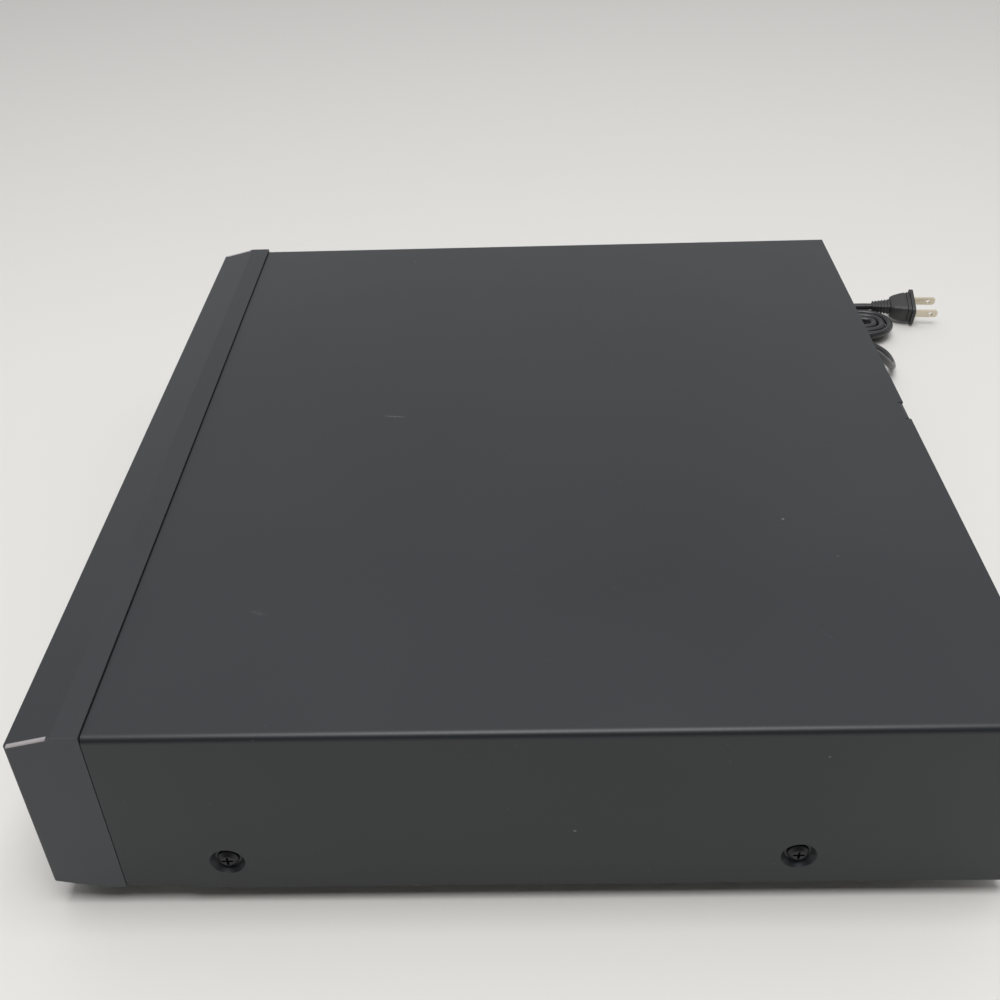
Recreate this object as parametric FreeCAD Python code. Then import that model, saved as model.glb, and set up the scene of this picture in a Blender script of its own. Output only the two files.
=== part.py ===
import FreeCAD, Part
import math
import os

# A five-disc DVD changer in millimetres: x across, front towards -y, z up from the floor.
# Depths below are given from the seam between the front panel and the top cover.

# Case
sheet = 1.0
foot_height = 10.0
cover_drop = 1.0
cover_bend = 3.0
side_space = 32.5
rear_room = 18.0
dimple_depth = 2.5
dimple_radius = 7.2
dimple_floor_radius = 5.4
dimple_rise = 16.3
front_screw_depth = 43.7
screw_spacing = 228.8
bottom_notch_depth = 26.0
bottom_notch_height = 2.0
flange_height = 21.0
tab_x = -2.7
tab_width = 14.5
tab_height = 14.0
tab_relief = 0.7
screw_clearance = 0.2

# Front panel
bezel_depth = 29.5
bezel_wall = 2.5
bezel_step = 1.0
bezel_corner = 1.2
seam_gap = 0.35
slope_depth = 18.5
slope_rise = 4.5
lip_depth = 8.0
lip_wall = 2.0
lip_gap = 0.4
trim_width = 1.5
trim_thickness = 0.8
panel_gap = 0.5
button_gap = 0.3
window_gap = 0.15
window_width = 150.0
window_height = 22.0
window_flange = 1.5

# Buttons and front board
button_proud = 1.2
button_travel = 0.8
button_flange = 1.2
button_height = 8.0
button_row_space = 13.5
stem_radius = 2.2
board_thickness = 1.6
switch_size = 6.0
switch_height = 3.5
plunger_radius = 1.7
plunger_height = 0.8
switch_room = 15.4
tube_width = 124.0
tube_height = 20.0
tube_depth = 8.0

# Disc, carousel and drawer
disc_radius = 60.0
small_disc_radius = 40.0
well_count = 5
well_pitch_radius = 104.5
well_clearance = 0.75
well_depth = 3.5
small_well_depth = 1.0
hub_hole_radius = 20.0
slot_width = 36.0
slot_reach = 74.0
finger_radius = 14.0
carousel_rim = 2.75
carousel_thickness = 6.0
collar_radius = 16.0
axle_radius = 9.0
axle_fit = 0.08
cap_radius = 21.0
cap_height = 3.5
carousel_motor_radius = 12.0
carousel_motor_height = 16.0
ring_gear_height = 4.0
ring_gear_inset = 10.5
carousel_module = 3.0
carousel_pinion_teeth = 17
carousel_rib = 2.5
drive_angle = 225.0
tray_wall = 2.5
tray_floor = 2.0
tray_side_height = 7.5
carousel_side_room = 3.5
carousel_front_room = 5.5
carousel_rear_room = 2.5
collar_lift = 1.0
ring_lift = 2.5
tongue_width = 2.9
tongue_height = 3.0
tray_opening_gap = 1.5
drawer_front_thickness = 3.0
drawer_front_offset = 2.5
drawer_headroom = 23.5
drawer_front_drop = 5.0

# Mechanism deck
deck_height = 30.0
deck_thickness = 2.5
deck_wall = 2.5
deck_front_depth = 6.0
deck_rear_margin = 15.0
gear_space = 4.5
rack_height = 3.5
guide_gap = 0.6
guide_end_gap = 3.1
guide_thickness = 2.5
guide_play = 0.2
deck_side_height = 15.5
tower_height = 31.5
deck_post_radius = 5.0
deck_post_inset = 6.5
bridge_width = 45.0
bridge_rib = 5.5
puck_hole = 13.0
puck_clearance = 1.8

# Drawer drive
load_module = 1.5
load_gear_teeth = 24
load_pinion_teeth = 10
load_gear_depth = 14.0
load_gear_x = -124.0
load_gear_thickness = 2.8
rack_back = 6.1
drawer_travel = 232.0
pulley_radius = 11.0
motor_pulley_radius = 3.5
pulley_height = 3.4
belt_thickness = 1.4
belt_width = 1.8
belt_span = 38.0
load_motor_radius = 12.0
load_motor_height = 22.0
motor_shaft_radius = 1.0
gear_axle_radius = 2.5
running_fit = 0.06

# Disc traverse
traverse_half_width = 62.0
traverse_front_reach = 84.5
traverse_rear_reach = 43.5
skirt_wall = 2.5
skirt_height = 24.0
slide_gap = 0.3
disc_lift = 3.0
hub_cone_height = 2.0
hub_flange = 1.3
hub_radius = 14.5
hub_cone_radius = 7.3
hub_boss_height = 2.8
hub_boss_radius = 5.0
pass_gap = 0.5
spindle_motor_radius = 13.0
spindle_motor_height = 14.0
motor_gap = 0.4
base_thickness = 3.0
base_rim = 3.0
cam_pin_radius = 2.0
cam_pin_spread = 40.0
cam_pin_drop = 9.5
cam_ratio = 3.0
cam_thickness = 2.8
cam_margin = 2.7
shaft_radius = 1.5
shaft_margin = 29.0
shaft_rise = 5.0
sled_near = 24.0
sled_travel = 34.0
sled_front = 12.0
sled_rear = 9.5
sled_top = 8.4
lens_radius = 3.5
sled_module = 0.8
sled_gear_teeth = 20
rack_reach = 10.0
sled_gear_height = 4.0
sled_motor_radius = 8.0
sled_motor_height = 13.0

# Electronics and rear panel
board_rise = 6.0
board_margin = 5.5
board_inner_x = 76.0
board_depth = 156.0
board_rear_gap = 2.0
standoff_radius = 3.0
decoder_size = 28.0
decoder_height = 3.0
memory_width = 18.0
memory_length = 12.0
memory_height = 2.2
crystal_length = 12.0
crystal_height = 4.0
ribbon_width = 26.0
ribbon_height = 7.0
small_capacitors = 7
small_capacitor_radius = 3.2
small_capacitor_height = 9.0
core_width = 38.0
core_stack = 12.0
core_height = 16.0
coil_width = 22.0
coil_length = 26.0
large_capacitor_radius = 8.0
large_capacitor_height = 19.0
sink_width = 52.0
sink_height = 18.0
sink_fin = 12.0
jack_reach = 8.3
jack_radius = 4.15
jack_bore = 1.6
jack_pitch = 14.0
jack_rise = 8.0
jack_block_depth = 14.0
jack_x = 96.0
jack_columns = 3
panel_flange = 10.0

# Feet
foot_inset_x = 40.0
foot_front_depth = 45.0
foot_rear_margin = 45.0
foot_radius = 16.0
foot_taper = 1.5
pad_radius = 12.0
pad_recess = 1.0
pad_height = 2.0
foot_screw_radius = 2.0

# Power cord, its hank and plug
cord_diameter = 4.8
bush_x = -180.0
bush_height = 38.0
bush_reach = 12.0
bush_radius = 6.0
bush_tip_radius = 3.6
bush_gap = 0.15
hank_x = -268.3
hank_y = 206.2
hank_turn = 4.0
hank_half_run = 38.0
hank_columns = 3
fold_radius = 7.5
strand_gap = 0.7
layer_gap = 0.45
waist_draw = 3.4
hank_entry = 13.0
entry_run = 14.5
tie_thickness = 0.8
tie_width = 4.0
tie_gap = 0.3
plug_relief = 13.0
plug_body = 14.0
plug_flange = 2.5
plug_half_width = 12.0
plug_half_height = 8.5
plug_corner = 0.45
plug_roll = 18.0
plug_rise = 2.2
plug_tail = 8.0
blade_length = 17.0
blade_width = 6.3
blade_thickness = 1.5
blade_spread = 12.7

V = FreeCAD.Vector
Z = V(0, 0, 1)

# Places that follow from the sizes: depths from the seam, towards the rear
well_radius = disc_radius + well_clearance
carousel_radius = well_pitch_radius + well_radius + carousel_rim
front_depth = -bezel_depth
tray_front = front_depth + drawer_front_thickness + drawer_front_offset
carousel_depth = tray_front + tray_wall + carousel_front_room + carousel_radius
tray_rear = carousel_depth + carousel_radius + carousel_rear_room + tray_wall
deck_rear_depth = tray_rear + deck_rear_margin
panel_depth = deck_rear_depth + rear_room
cover_depth = panel_depth + 2 * sheet
spindle_depth = carousel_depth + well_pitch_radius
overall_depth = button_proud + bezel_depth + cover_depth + jack_reach
seam_y = button_proud + bezel_depth - overall_depth / 2

# Places across
shaft_spread = traverse_half_width - shaft_margin
tray_half = carousel_radius + carousel_side_room + tray_wall
tongue_edge = tray_half + tongue_width
deck_half = tongue_edge + guide_end_gap + deck_wall
half_width = deck_half + side_space
drawer_front_half = tongue_edge + 0.1
drawer_opening_half = drawer_front_half + panel_gap
cover_inner = half_width - sheet
flange_edge = cover_inner - dimple_depth

# Heights
cover_bottom = foot_height
pan_bottom = cover_bottom + cover_drop
pan_top = pan_bottom + sheet
deck_bottom = pan_top + deck_height
deck_top = deck_bottom + deck_thickness
rack_bottom = deck_top + gear_space
tray_bottom = rack_bottom + rack_height
tray_top = tray_bottom + tray_floor
ring_bottom = tray_top + ring_lift
carousel_bottom = ring_bottom + ring_gear_height
carousel_top = carousel_bottom + carousel_thickness
well_floor = carousel_top - well_depth
drawer_bottom = tray_bottom - drawer_front_drop
drawer_top = carousel_top + drawer_headroom
slope_bottom = drawer_top + panel_gap + 3.3
bezel_top = slope_bottom + slope_rise
cover_top = bezel_top - bezel_step
bridge_bottom = deck_top + tower_height
puck_bottom = carousel_top + puck_clearance

# The disc hub lies just under the carousel's gear ring and rises to the disc
hub_low = ring_bottom - pass_gap - hub_cone_height
hub_high = well_floor + disc_lift
lift_travel = hub_high - hub_low
motor_top = hub_low - hub_flange - hub_boss_height - motor_gap
base_top = motor_top - spindle_motor_height
base_bottom = base_top - base_thickness
cam_pin_z = base_top - cam_pin_drop - cam_pin_radius + 0.5
shaft_z = base_top + shaft_rise


def depth(value):
    return seam_y + value


def block(x0, x1, y0, y1, z0, z1):
    return Part.makeBox(x1 - x0, y1 - y0, z1 - z0, V(x0, y0, z0))


def post(x, y, z0, z1, radius):
    return Part.makeCylinder(radius, z1 - z0, V(x, y, z0), Z)


def rod_x(y, z, x0, x1, radius):
    return Part.makeCylinder(radius, x1 - x0, V(x0, y, z), V(1, 0, 0))


def rod_y(x, z, y0, y1, radius):
    return Part.makeCylinder(radius, y1 - y0, V(x, y0, z), V(0, 1, 0))


def join(shapes):
    return shapes[0].multiFuse(shapes[1:]).removeSplitter()


def face_of(points):
    return Part.Face(Part.makePolygon(points + [points[0]]))


def prism_x(outline, x0, x1):
    return face_of([V(x0, y, z) for y, z in outline]).extrude(V(x1 - x0, 0, 0))


def prism_y(outline, y0, y1):
    return face_of([V(x, y0, z) for x, z in outline]).extrude(V(0, y1 - y0, 0))


def prism_z(outline, z0, z1):
    return face_of([V(x, y, z0) for x, y in outline]).extrude(V(0, 0, z1 - z0))


def turned(x, y, outline):
    """Turn an outline of (radius, height) about the upright line at x, y."""
    face = face_of([V(x + radius, y, z) for radius, z in outline])
    return face.revolve(V(x, y, 0), Z, 360)


def turned_along_y(x, z, outline):
    """Turn an outline of (radius, y) about the front-to-rear line at x, z."""
    face = face_of([V(x + radius, y, z) for radius, y in outline])
    return face.revolve(V(x, 0, z), V(0, 1, 0), 360)


def turned_along_x(y, z, outline):
    """Turn an outline of (radius, x) about the cross line at y, z."""
    face = face_of([V(x, y, z + radius) for radius, x in outline])
    return face.revolve(V(0, y, z), V(1, 0, 0), 360)


def both_sides(shape):
    return [shape, shape.mirror(V(0, 0, 0), V(1, 0, 0))]


def export(shape, node):
    shape.exportStep("parts/" + node + ".step")
    print(node, len(shape.Solids), shape.isValid(), round(shape.Volume))


def rounded_box(x0, x1, y0, y1, z0, z1, radius):
    """A block whose four front-to-rear edges are rounded."""
    solid = block(x0, x1, y0, y1, z0, z1)
    edges = [e for e in solid.Edges if abs(e.tangentAt(e.FirstParameter).y) > 0.9]
    return solid.makeFillet(radius, edges)


def channel(half, y0, y1, z0, z1, radius):
    """A long solid whose two upper corners are rounded, as bent sheet is."""
    bend = radius * (1 - math.sqrt(0.5))
    edges = [
        Part.makeLine(V(-half, y0, z0), V(-half, y0, z1 - radius)),
        Part.Arc(
            V(-half, y0, z1 - radius), V(-half + bend, y0, z1 - bend), V(-half + radius, y0, z1),
        ).toShape(),
        Part.makeLine(V(-half + radius, y0, z1), V(half - radius, y0, z1)),
        Part.Arc(V(half - radius, y0, z1), V(half - bend, y0, z1 - bend), V(half, y0, z1 - radius)).toShape(),
        Part.makeLine(V(half, y0, z1 - radius), V(half, y0, z0)),
        Part.makeLine(V(half, y0, z0), V(-half, y0, z0)),
    ]
    return Part.Face(Part.Wire(edges)).extrude(V(0, y1 - y0, 0))


# Teeth have straight flanks and a little backlash
def tooth_profile(module):
    slope = math.tan(math.radians(20))
    addendum = 0.85 * module
    dedendum = 1.15 * module
    half = 0.58 * module
    return addendum, dedendum, half - addendum * slope, half + dedendum * slope


def gear(x, y, z0, z1, teeth, module, tooth_angle):
    """A spur gear with one tooth centred at tooth_angle, in radians."""
    addendum, dedendum, narrow, wide = tooth_profile(module)
    root = teeth * module / 2 - dedendum
    tip = teeth * module / 2 + addendum
    outline = []
    for i in range(teeth):
        centre = tooth_angle + 2 * math.pi * i / teeth
        for radius, offset in ((root, -wide), (tip, -narrow), (tip, narrow), (root, wide)):
            angle = centre + offset / radius
            outline.append((x + radius * math.cos(angle), y + radius * math.sin(angle)))
    return prism_z(outline, z0, z1)


def rack(x_pitch, x_back, side, y0, teeth, module, z0, z1):
    """A rack along y with its first tooth centred at y0 and its teeth towards side."""
    addendum, dedendum, narrow, wide = tooth_profile(module)
    pitch = math.pi * module
    outline = [(x_back, y0 - pitch / 2)]
    for i in range(teeth):
        centre = y0 + i * pitch
        corners = ((-dedendum, -wide), (addendum, -narrow), (addendum, narrow), (-dedendum, wide))
        for height, offset in corners:
            outline.append((x_pitch + side * height, centre + offset))
    outline.append((x_back, y0 + (teeth - 0.5) * pitch))
    return prism_z(outline, z0, z1)


def screw(x, y, z_seat, z_end, radius, head_radius, head_height):
    """An upright screw: its head stands on z_seat, on the side away from z_end."""
    up = math.copysign(1, z_seat - z_end)
    low, high = sorted((z_seat, z_end))
    head_low, head_high = sorted((z_seat, z_seat + up * head_height))
    return join([post(x, y, low, high, radius), post(x, y, head_low, head_high, head_radius)])


# Places shared by several sub-parts
bezel_bottom = pan_bottom
front_y = depth(front_depth)
bezel_inner_y = front_y + bezel_wall
rear_y = depth(cover_depth)
opening_bottom = drawer_bottom - panel_gap
opening_top = drawer_top + panel_gap
screw_depths = (front_screw_depth, front_screw_depth + screw_spacing)
dimple_z = cover_bottom + dimple_rise
control_middle = (bezel_bottom + slope_rise + opening_bottom) / 2 - 0.3
button_rows = (control_middle - button_row_space / 2, control_middle + button_row_space / 2)
right_button_x = half_width - 23.0
board_front_y = bezel_inner_y + switch_room
plunger_tip_y = board_front_y - switch_height - plunger_height
cap_front_y = front_y - button_proud
button_places = {
    "power_button": (-right_button_x, control_middle, 20.0),
    "open_close_button": (right_button_x, button_rows[1], 22.0),
    "disc_skip_button": (right_button_x, button_rows[0], 22.0),
    "play_button": (102.0, button_rows[1], 26.0),
    "pause_button": (132.0, button_rows[1], 22.0),
    "stop_button": (160.0, button_rows[1], 22.0),
    "previous_button": (104.0, button_rows[0], 22.0),
    "next_button": (132.0, button_rows[0], 22.0),
}
boss_places = (-half_width + 8.0, -window_width / 2 - 6.0, window_width / 2 + 6.0, half_width - 8.0)
carousel_y = depth(carousel_depth)
spindle_y = depth(spindle_depth)
ring_teeth = 2 * round((carousel_radius - ring_gear_inset) / carousel_module)
ring_radius = ring_teeth * carousel_module / 2
drive_distance = ring_radius + carousel_pinion_teeth * carousel_module / 2
drive_x = drive_distance * math.cos(math.radians(drive_angle))
drive_y = carousel_y + drive_distance * math.sin(math.radians(drive_angle))


def top_cover():
    y0, y1 = depth(0), rear_y
    shell = channel(half_width, y0, y1, cover_bottom, cover_top, cover_bend)
    hollow = channel(cover_inner, y0 - 1, y1 + 1, cover_bottom - 1, cover_top - sheet, cover_bend - sheet)
    shell = shell.cut(hollow)
    cuts = []
    cups = []
    for side in (1, -1):
        notch_x = sorted((side * (cover_inner - 1), side * (half_width + 1)))
        notch_top = cover_bottom + bottom_notch_height
        cuts.append(block(*notch_x, y0 - 1, y0 + bottom_notch_depth, cover_bottom - 1, notch_top))
        for screw_depth in screw_depths:
            y = depth(screw_depth)
            hole = foot_screw_radius + screw_clearance
            rim = dimple_radius + 0.8
            cuts.append(rod_x(y, dimple_z, *notch_x, rim))
            cups.append(turned_along_x(y, dimple_z, [
                (rim, side * cover_inner),
                (dimple_floor_radius + 0.8, side * flange_edge),
                (hole, side * flange_edge),
                (hole, side * (flange_edge + sheet)),
                (dimple_floor_radius, side * (flange_edge + sheet)),
                (dimple_radius, side * half_width),
                (rim, side * half_width),
            ]))
    relief = tab_width / 2 + tab_relief
    relief_y = y1 - 2 * sheet - tab_relief
    relief_z = cover_top - 2 * sheet
    cuts.append(block(tab_x - relief, tab_x + relief, relief_y, y1 + 1, relief_z, cover_top + 1))
    return join([shell.cut(cuts)] + cups + [rear_tab(relief_y, y1)])


def rear_tab(y0, y1):
    """The tab that the cover's rear edge bends down over the rear panel."""
    outer = 2 * sheet
    x0 = tab_x - tab_width / 2
    low = cover_top - tab_height

    def corner(radius):
        mid = radius * math.sqrt(0.5)
        centre_y, centre_z = y1 - outer, cover_top - outer
        return Part.Arc(
            V(x0, centre_y, centre_z + radius),
            V(x0, centre_y + mid, centre_z + mid),
            V(x0, centre_y + radius, centre_z),
        ).toShape()

    edges = [
        Part.makeLine(V(x0, y0, cover_top), V(x0, y1 - outer, cover_top)),
        corner(outer),
        Part.makeLine(V(x0, y1, cover_top - outer), V(x0, y1, low)),
        Part.makeLine(V(x0, y1, low), V(x0, y1 - sheet, low)),
        Part.makeLine(V(x0, y1 - sheet, low), V(x0, y1 - sheet, cover_top - outer)),
        corner(outer - sheet),
        Part.makeLine(V(x0, y1 - outer, cover_top - sheet), V(x0, y0, cover_top - sheet)),
        Part.makeLine(V(x0, y0, cover_top - sheet), V(x0, y0, cover_top)),
    ]
    tab = Part.Face(Part.Wire(Part.__sortEdges__(edges))).extrude(V(tab_width, 0, 0))
    hole = rod_y(tab_x, tab_screw_z, y1 - 2 * sheet, y1 + sheet, foot_screw_radius + screw_clearance)
    return tab.cut(hole)


tab_screw_z = cover_top - tab_height + 5.5
foot_places = [
    (side * (half_width - foot_inset_x), depth(place))
    for side in (-1, 1)
    for place in (foot_front_depth, cover_depth - foot_rear_margin)
]
board_edge = flange_edge - sheet - board_margin
board_rear_y = depth(panel_depth - board_rear_gap)
board_front_edge_y = board_rear_y - board_depth
board_bottom = pan_top + board_rise
board_top = board_bottom + board_thickness
standoff_places = [
    (side * x, y)
    for side in (-1, 1)
    for x in (board_inner_x + 6, board_edge - 6)
    for y in (board_front_edge_y + 6, board_rear_y - 22)
]
post_x = deck_half - deck_post_inset
rear_post_x = traverse_half_width + skirt_wall + deck_post_radius + 0.6
deck_post_places = [
    (side * x, depth(place))
    for side in (-1, 1)
    for x, place in ((post_x, 30.0), (post_x, 182.0), (rear_post_x, deck_rear_depth - 10.0))
]


def chassis_pan():
    """The bottom pan with its side flanges, deck posts and board standoffs."""
    y0, y1 = depth(0), depth(panel_depth)
    shapes = [block(-flange_edge, flange_edge, y0, y1 + sheet, pan_bottom, pan_top)]
    flange_y = depth(lip_depth + lip_gap)
    flange_top = pan_bottom + flange_height
    shapes += both_sides(block(flange_edge - sheet, flange_edge, flange_y, y1, pan_bottom, flange_top))
    shapes += [post(x, y, pan_bottom, deck_bottom, deck_post_radius) for x, y in deck_post_places]
    shapes += [post(x, y, pan_bottom, board_bottom, standoff_radius) for x, y in standoff_places]
    hole = foot_screw_radius + screw_clearance
    cuts = [post(x, y, pan_bottom - 1, pan_top + 1, hole) for x, y in foot_places]
    bore = 1.5 + screw_clearance
    cuts += [post(x, y, deck_bottom - 9, deck_bottom + 1, bore) for x, y in deck_post_places]
    for screw_depth in screw_depths:
        y = depth(screw_depth)
        cuts.append(rod_x(y, dimple_z, -flange_edge - 1, flange_edge + 1, hole))
    for side in (-1, 1):
        for i in range(6):
            x = side * (board_inner_x + 30 + 14 * i)
            cuts.append(block(x - 1.5, x + 1.5, depth(236), depth(276), pan_bottom - 1, pan_top + 1))
    return join(shapes).cut(cuts)


def bezel_outline():
    """The front panel's section as (y, z), from its lower rear corner round the front."""
    y0 = depth(-seam_gap)
    chin_y = depth(-bezel_depth / 2)
    return [
        (y0, bezel_bottom),
        (chin_y + 5.0, bezel_bottom),
        (chin_y, bezel_bottom + 1.1),
        (front_y, bezel_bottom + slope_rise),
        (front_y, slope_bottom),
        (front_y + slope_depth, bezel_top),
        (y0, bezel_top),
    ]


def slope_z(y):
    return slope_bottom + slope_rise * (y - front_y) / slope_depth


def front_bezel():
    half = half_width
    shell = prism_x(bezel_outline(), -half, half)
    upright = [
        e for e in shell.Edges
        if abs(e.tangentAt(e.FirstParameter).z) > 0.9 and abs(e.CenterOfMass.y - front_y) < 0.1
    ]
    shell = shell.makeFillet(bezel_corner, upright)
    shell = shell.cut(prism_x(bezel_inner_outline(), -half + bezel_wall, half - bezel_wall))
    shapes = [shell]
    lip_half = cover_inner - lip_gap
    lip_top = cover_top - sheet - lip_gap
    lip = channel(lip_half, depth(-seam_gap - 1), depth(lip_depth), pan_top, lip_top, cover_bend - sheet)
    lip_hole = block(
        -lip_half + lip_wall, lip_half - lip_wall,
        depth(-seam_gap - 2), depth(lip_depth + 1),
        pan_top + lip_wall, lip_top - lip_wall,
    )
    shapes.append(lip.cut(lip_hole))
    shapes.append(block(
        -drawer_opening_half - 2, drawer_opening_half + 2,
        bezel_inner_y - 0.5, bezel_inner_y + 7,
        opening_bottom - 2, opening_top + 1.6,
    ))
    for x in boss_places:
        shapes.append(rod_y(x, control_middle, bezel_inner_y - 0.5, board_front_y, 2.5))
    cuts = [block(
        -drawer_opening_half, drawer_opening_half, front_y - 1, bezel_inner_y + 8, opening_bottom, opening_top,
    )]
    wide, high = window_width / 2 + window_gap, window_height / 2 + window_gap
    cuts.append(rounded_box(
        -wide, wide, front_y - 1, bezel_inner_y + 1, control_middle - high, control_middle + high, 1.5,
    ))
    for x, z, width in button_places.values():
        wide, high = width / 2 + button_gap, button_height / 2 + button_gap
        cuts.append(rounded_box(x - wide, x + wide, front_y - 1, bezel_inner_y + 1, z - high, z + high, 1.5))
    cuts += [trim_strip(side) for side in (-1, 1)]
    return join(shapes).cut(cuts)


def bezel_inner_outline():
    """The section inside the front panel's walls, open to the rear."""
    y0 = depth(1)
    chin_y = depth(-bezel_depth / 2)
    return [
        (y0, bezel_bottom + bezel_wall),
        (chin_y + 5.0, bezel_bottom + bezel_wall),
        (chin_y, bezel_bottom + bezel_wall + 1.1),
        (bezel_inner_y, bezel_bottom + bezel_wall + slope_rise - 0.5),
        (bezel_inner_y, slope_z(bezel_inner_y) - bezel_wall),
        (front_y + slope_depth, bezel_top - bezel_wall),
        (y0, bezel_top - bezel_wall),
    ]


def trim_strip(side):
    """One pale strip let into the end of the front panel's slope."""
    x0, x1 = sorted((side * (half_width - trim_width), side * half_width))
    y0, y1 = front_y + bezel_corner, front_y + slope_depth - 1.5
    outline = [
        (y0, slope_z(y0)), (y1, slope_z(y1)),
        (y1, slope_z(y1) - trim_thickness), (y0, slope_z(y0) - trim_thickness),
    ]
    return prism_x(outline, x0, x1)


def bezel_edge_trims():
    return Part.makeCompound([trim_strip(side) for side in (-1, 1)])


def display_window():
    """The smoked window: a plug in the front wall and a flange behind it."""
    wide, high = window_width / 2, window_height / 2
    plug = rounded_box(
        -wide, wide, front_y + 0.2, bezel_inner_y + 1, control_middle - high, control_middle + high, 1.5,
    )
    edge = window_flange
    flange = block(
        -wide - edge, wide + edge, bezel_inner_y, bezel_inner_y + 1.5,
        control_middle - high - edge, control_middle + high + edge,
    )
    return join([plug, flange])


def button(x, z, width):
    """A cap that is held behind the front wall by its flange, with a stem to its switch."""
    wide, high = width / 2, button_height / 2
    edge = button_flange
    cap = rounded_box(x - wide, x + wide, cap_front_y, bezel_inner_y + 0.5, z - high, z + high, 1.2)
    rim = [e for e in cap.Edges if e.BoundBox.YMax < cap_front_y + 0.01]
    cap = cap.makeChamfer(0.4, rim)
    flange = block(
        x - wide - edge, x + wide + edge, bezel_inner_y, bezel_inner_y + 1.5, z - high - edge, z + high + edge,
    )
    stem = rod_y(x, z, bezel_inner_y + 1, plunger_tip_y - button_travel - 0.1, stem_radius)
    return join([cap, flange, stem])


# The front board's ribbon socket
front_plug_x = (30.0, 52.0)
front_plug_depth = 7.0
front_plug_low, front_plug_high = 3.0, 9.0


def front_board():
    half = -boss_places[0] + 4.0
    z0, z1 = bezel_bottom + bezel_wall + 3, opening_bottom - 2.5
    board_back_y = board_front_y + board_thickness
    board = block(-half, half, board_front_y, board_back_y, z0, z1)
    plug = block(
        *front_plug_x, board_back_y, board_front_y + front_plug_depth,
        z0 + front_plug_low, z0 + front_plug_high,
    )
    return join([board, plug])


def display_tube():
    """The glass display tube, with its seal tip and lead strips."""
    y1 = board_front_y
    half = tube_width / 2
    low = control_middle - tube_height / 2
    glass = block(-half, half, y1 - tube_depth, y1, low, low + tube_height)
    front = [e for e in glass.Edges if e.BoundBox.YMax < y1 - tube_depth + 0.01]
    glass = glass.makeChamfer(1.2, front)
    tip = rod_x(y1 - tube_depth / 2, control_middle, half, half + 5, 1.8)
    return join([glass, tip])


def tact_switches():
    switches = []
    half = switch_size / 2
    for x, z, width in button_places.values():
        body = block(x - half, x + half, board_front_y - switch_height, board_front_y, z - half, z + half)
        plunger = rod_y(x, z, plunger_tip_y, board_front_y - switch_height + 0.5, plunger_radius)
        switches.append(join([body, plunger]))
    return Part.makeCompound(switches)


def foot(x, y):
    base = pad_height
    screw_hole = foot_screw_radius + screw_clearance
    return turned(x, y, [
        (screw_hole, pan_bottom),
        (foot_radius, pan_bottom),
        (foot_radius, pan_bottom - 2),
        (foot_radius - foot_taper, base),
        (pad_radius + 0.2, base),
        (pad_radius + 0.2, base + pad_recess),
        (5.0, base + pad_recess),
        (5.0, foot_screw_seat),
        (screw_hole, foot_screw_seat),
    ])


foot_screw_seat = pan_bottom - 3.5


def foot_pad(x, y):
    return post(x, y, 0, pad_height + pad_recess, pad_radius).cut(post(x, y, -1, pad_height + 2, 5.2))


def foot_screw(x, y):
    return screw(x, y, foot_screw_seat, pan_top + 3, foot_screw_radius, 4.2, 2.5)


def side_screw(side, screw_depth):
    """A pan-head screw that clamps the cover's dimple to the pan's flange."""
    y = depth(screw_depth)
    seat = side * (flange_edge + sheet)
    head = side * 2.2
    outline = [
        (0, seat + head), (2.6, seat + head), (4.3, seat + head * 0.45), (4.5, seat),
        (foot_screw_radius, seat), (foot_screw_radius, seat - side * 8.0), (0, seat - side * 9.5),
    ]
    body = turned_along_x(y, dimple_z, outline)
    slots = []
    x0, x1 = sorted((seat + head * 0.4, seat + head * 1.5))
    for wide, high in ((2.3, 0.5), (0.5, 2.3)):
        slots.append(block(x0, x1, y - wide, y + wide, dimple_z - high, dimple_z + high))
    return body.cut(slots)


def rear_screw(x, z, seat_y):
    outline = [
        (0, seat_y + 2.2), (2.6, seat_y + 2.2), (4.2, seat_y + 1.0), (4.4, seat_y),
        (1.5, seat_y), (1.5, seat_y - 7.0), (0, seat_y - 8.0),
    ]
    slots = [
        block(x - wide, x + wide, seat_y + 1, seat_y + 3, z - high, z + high)
        for wide, high in ((2.1, 0.45), (0.45, 2.1))
    ]
    return turned_along_y(x, z, outline).cut(slots)


jack_places = [
    (jack_x + jack_pitch * i, board_top + jack_rise + jack_pitch * j)
    for i in range(jack_columns)
    for j in range(2)
]
jack_block_x = (jack_x - jack_pitch / 2, jack_x + jack_pitch * (jack_columns - 0.5))
jack_block_top = board_top + jack_rise + 1.5 * jack_pitch
panel_inner_y = depth(panel_depth)
panel_outer_y = panel_inner_y + sheet
video_x = jack_block_x[1] + 12
optical_x = video_x + 20
socket_z = board_top + 10.0
panel_screws = [(jack_block_x[0] - 6, socket_z), (optical_x + 12, socket_z)]


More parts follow.
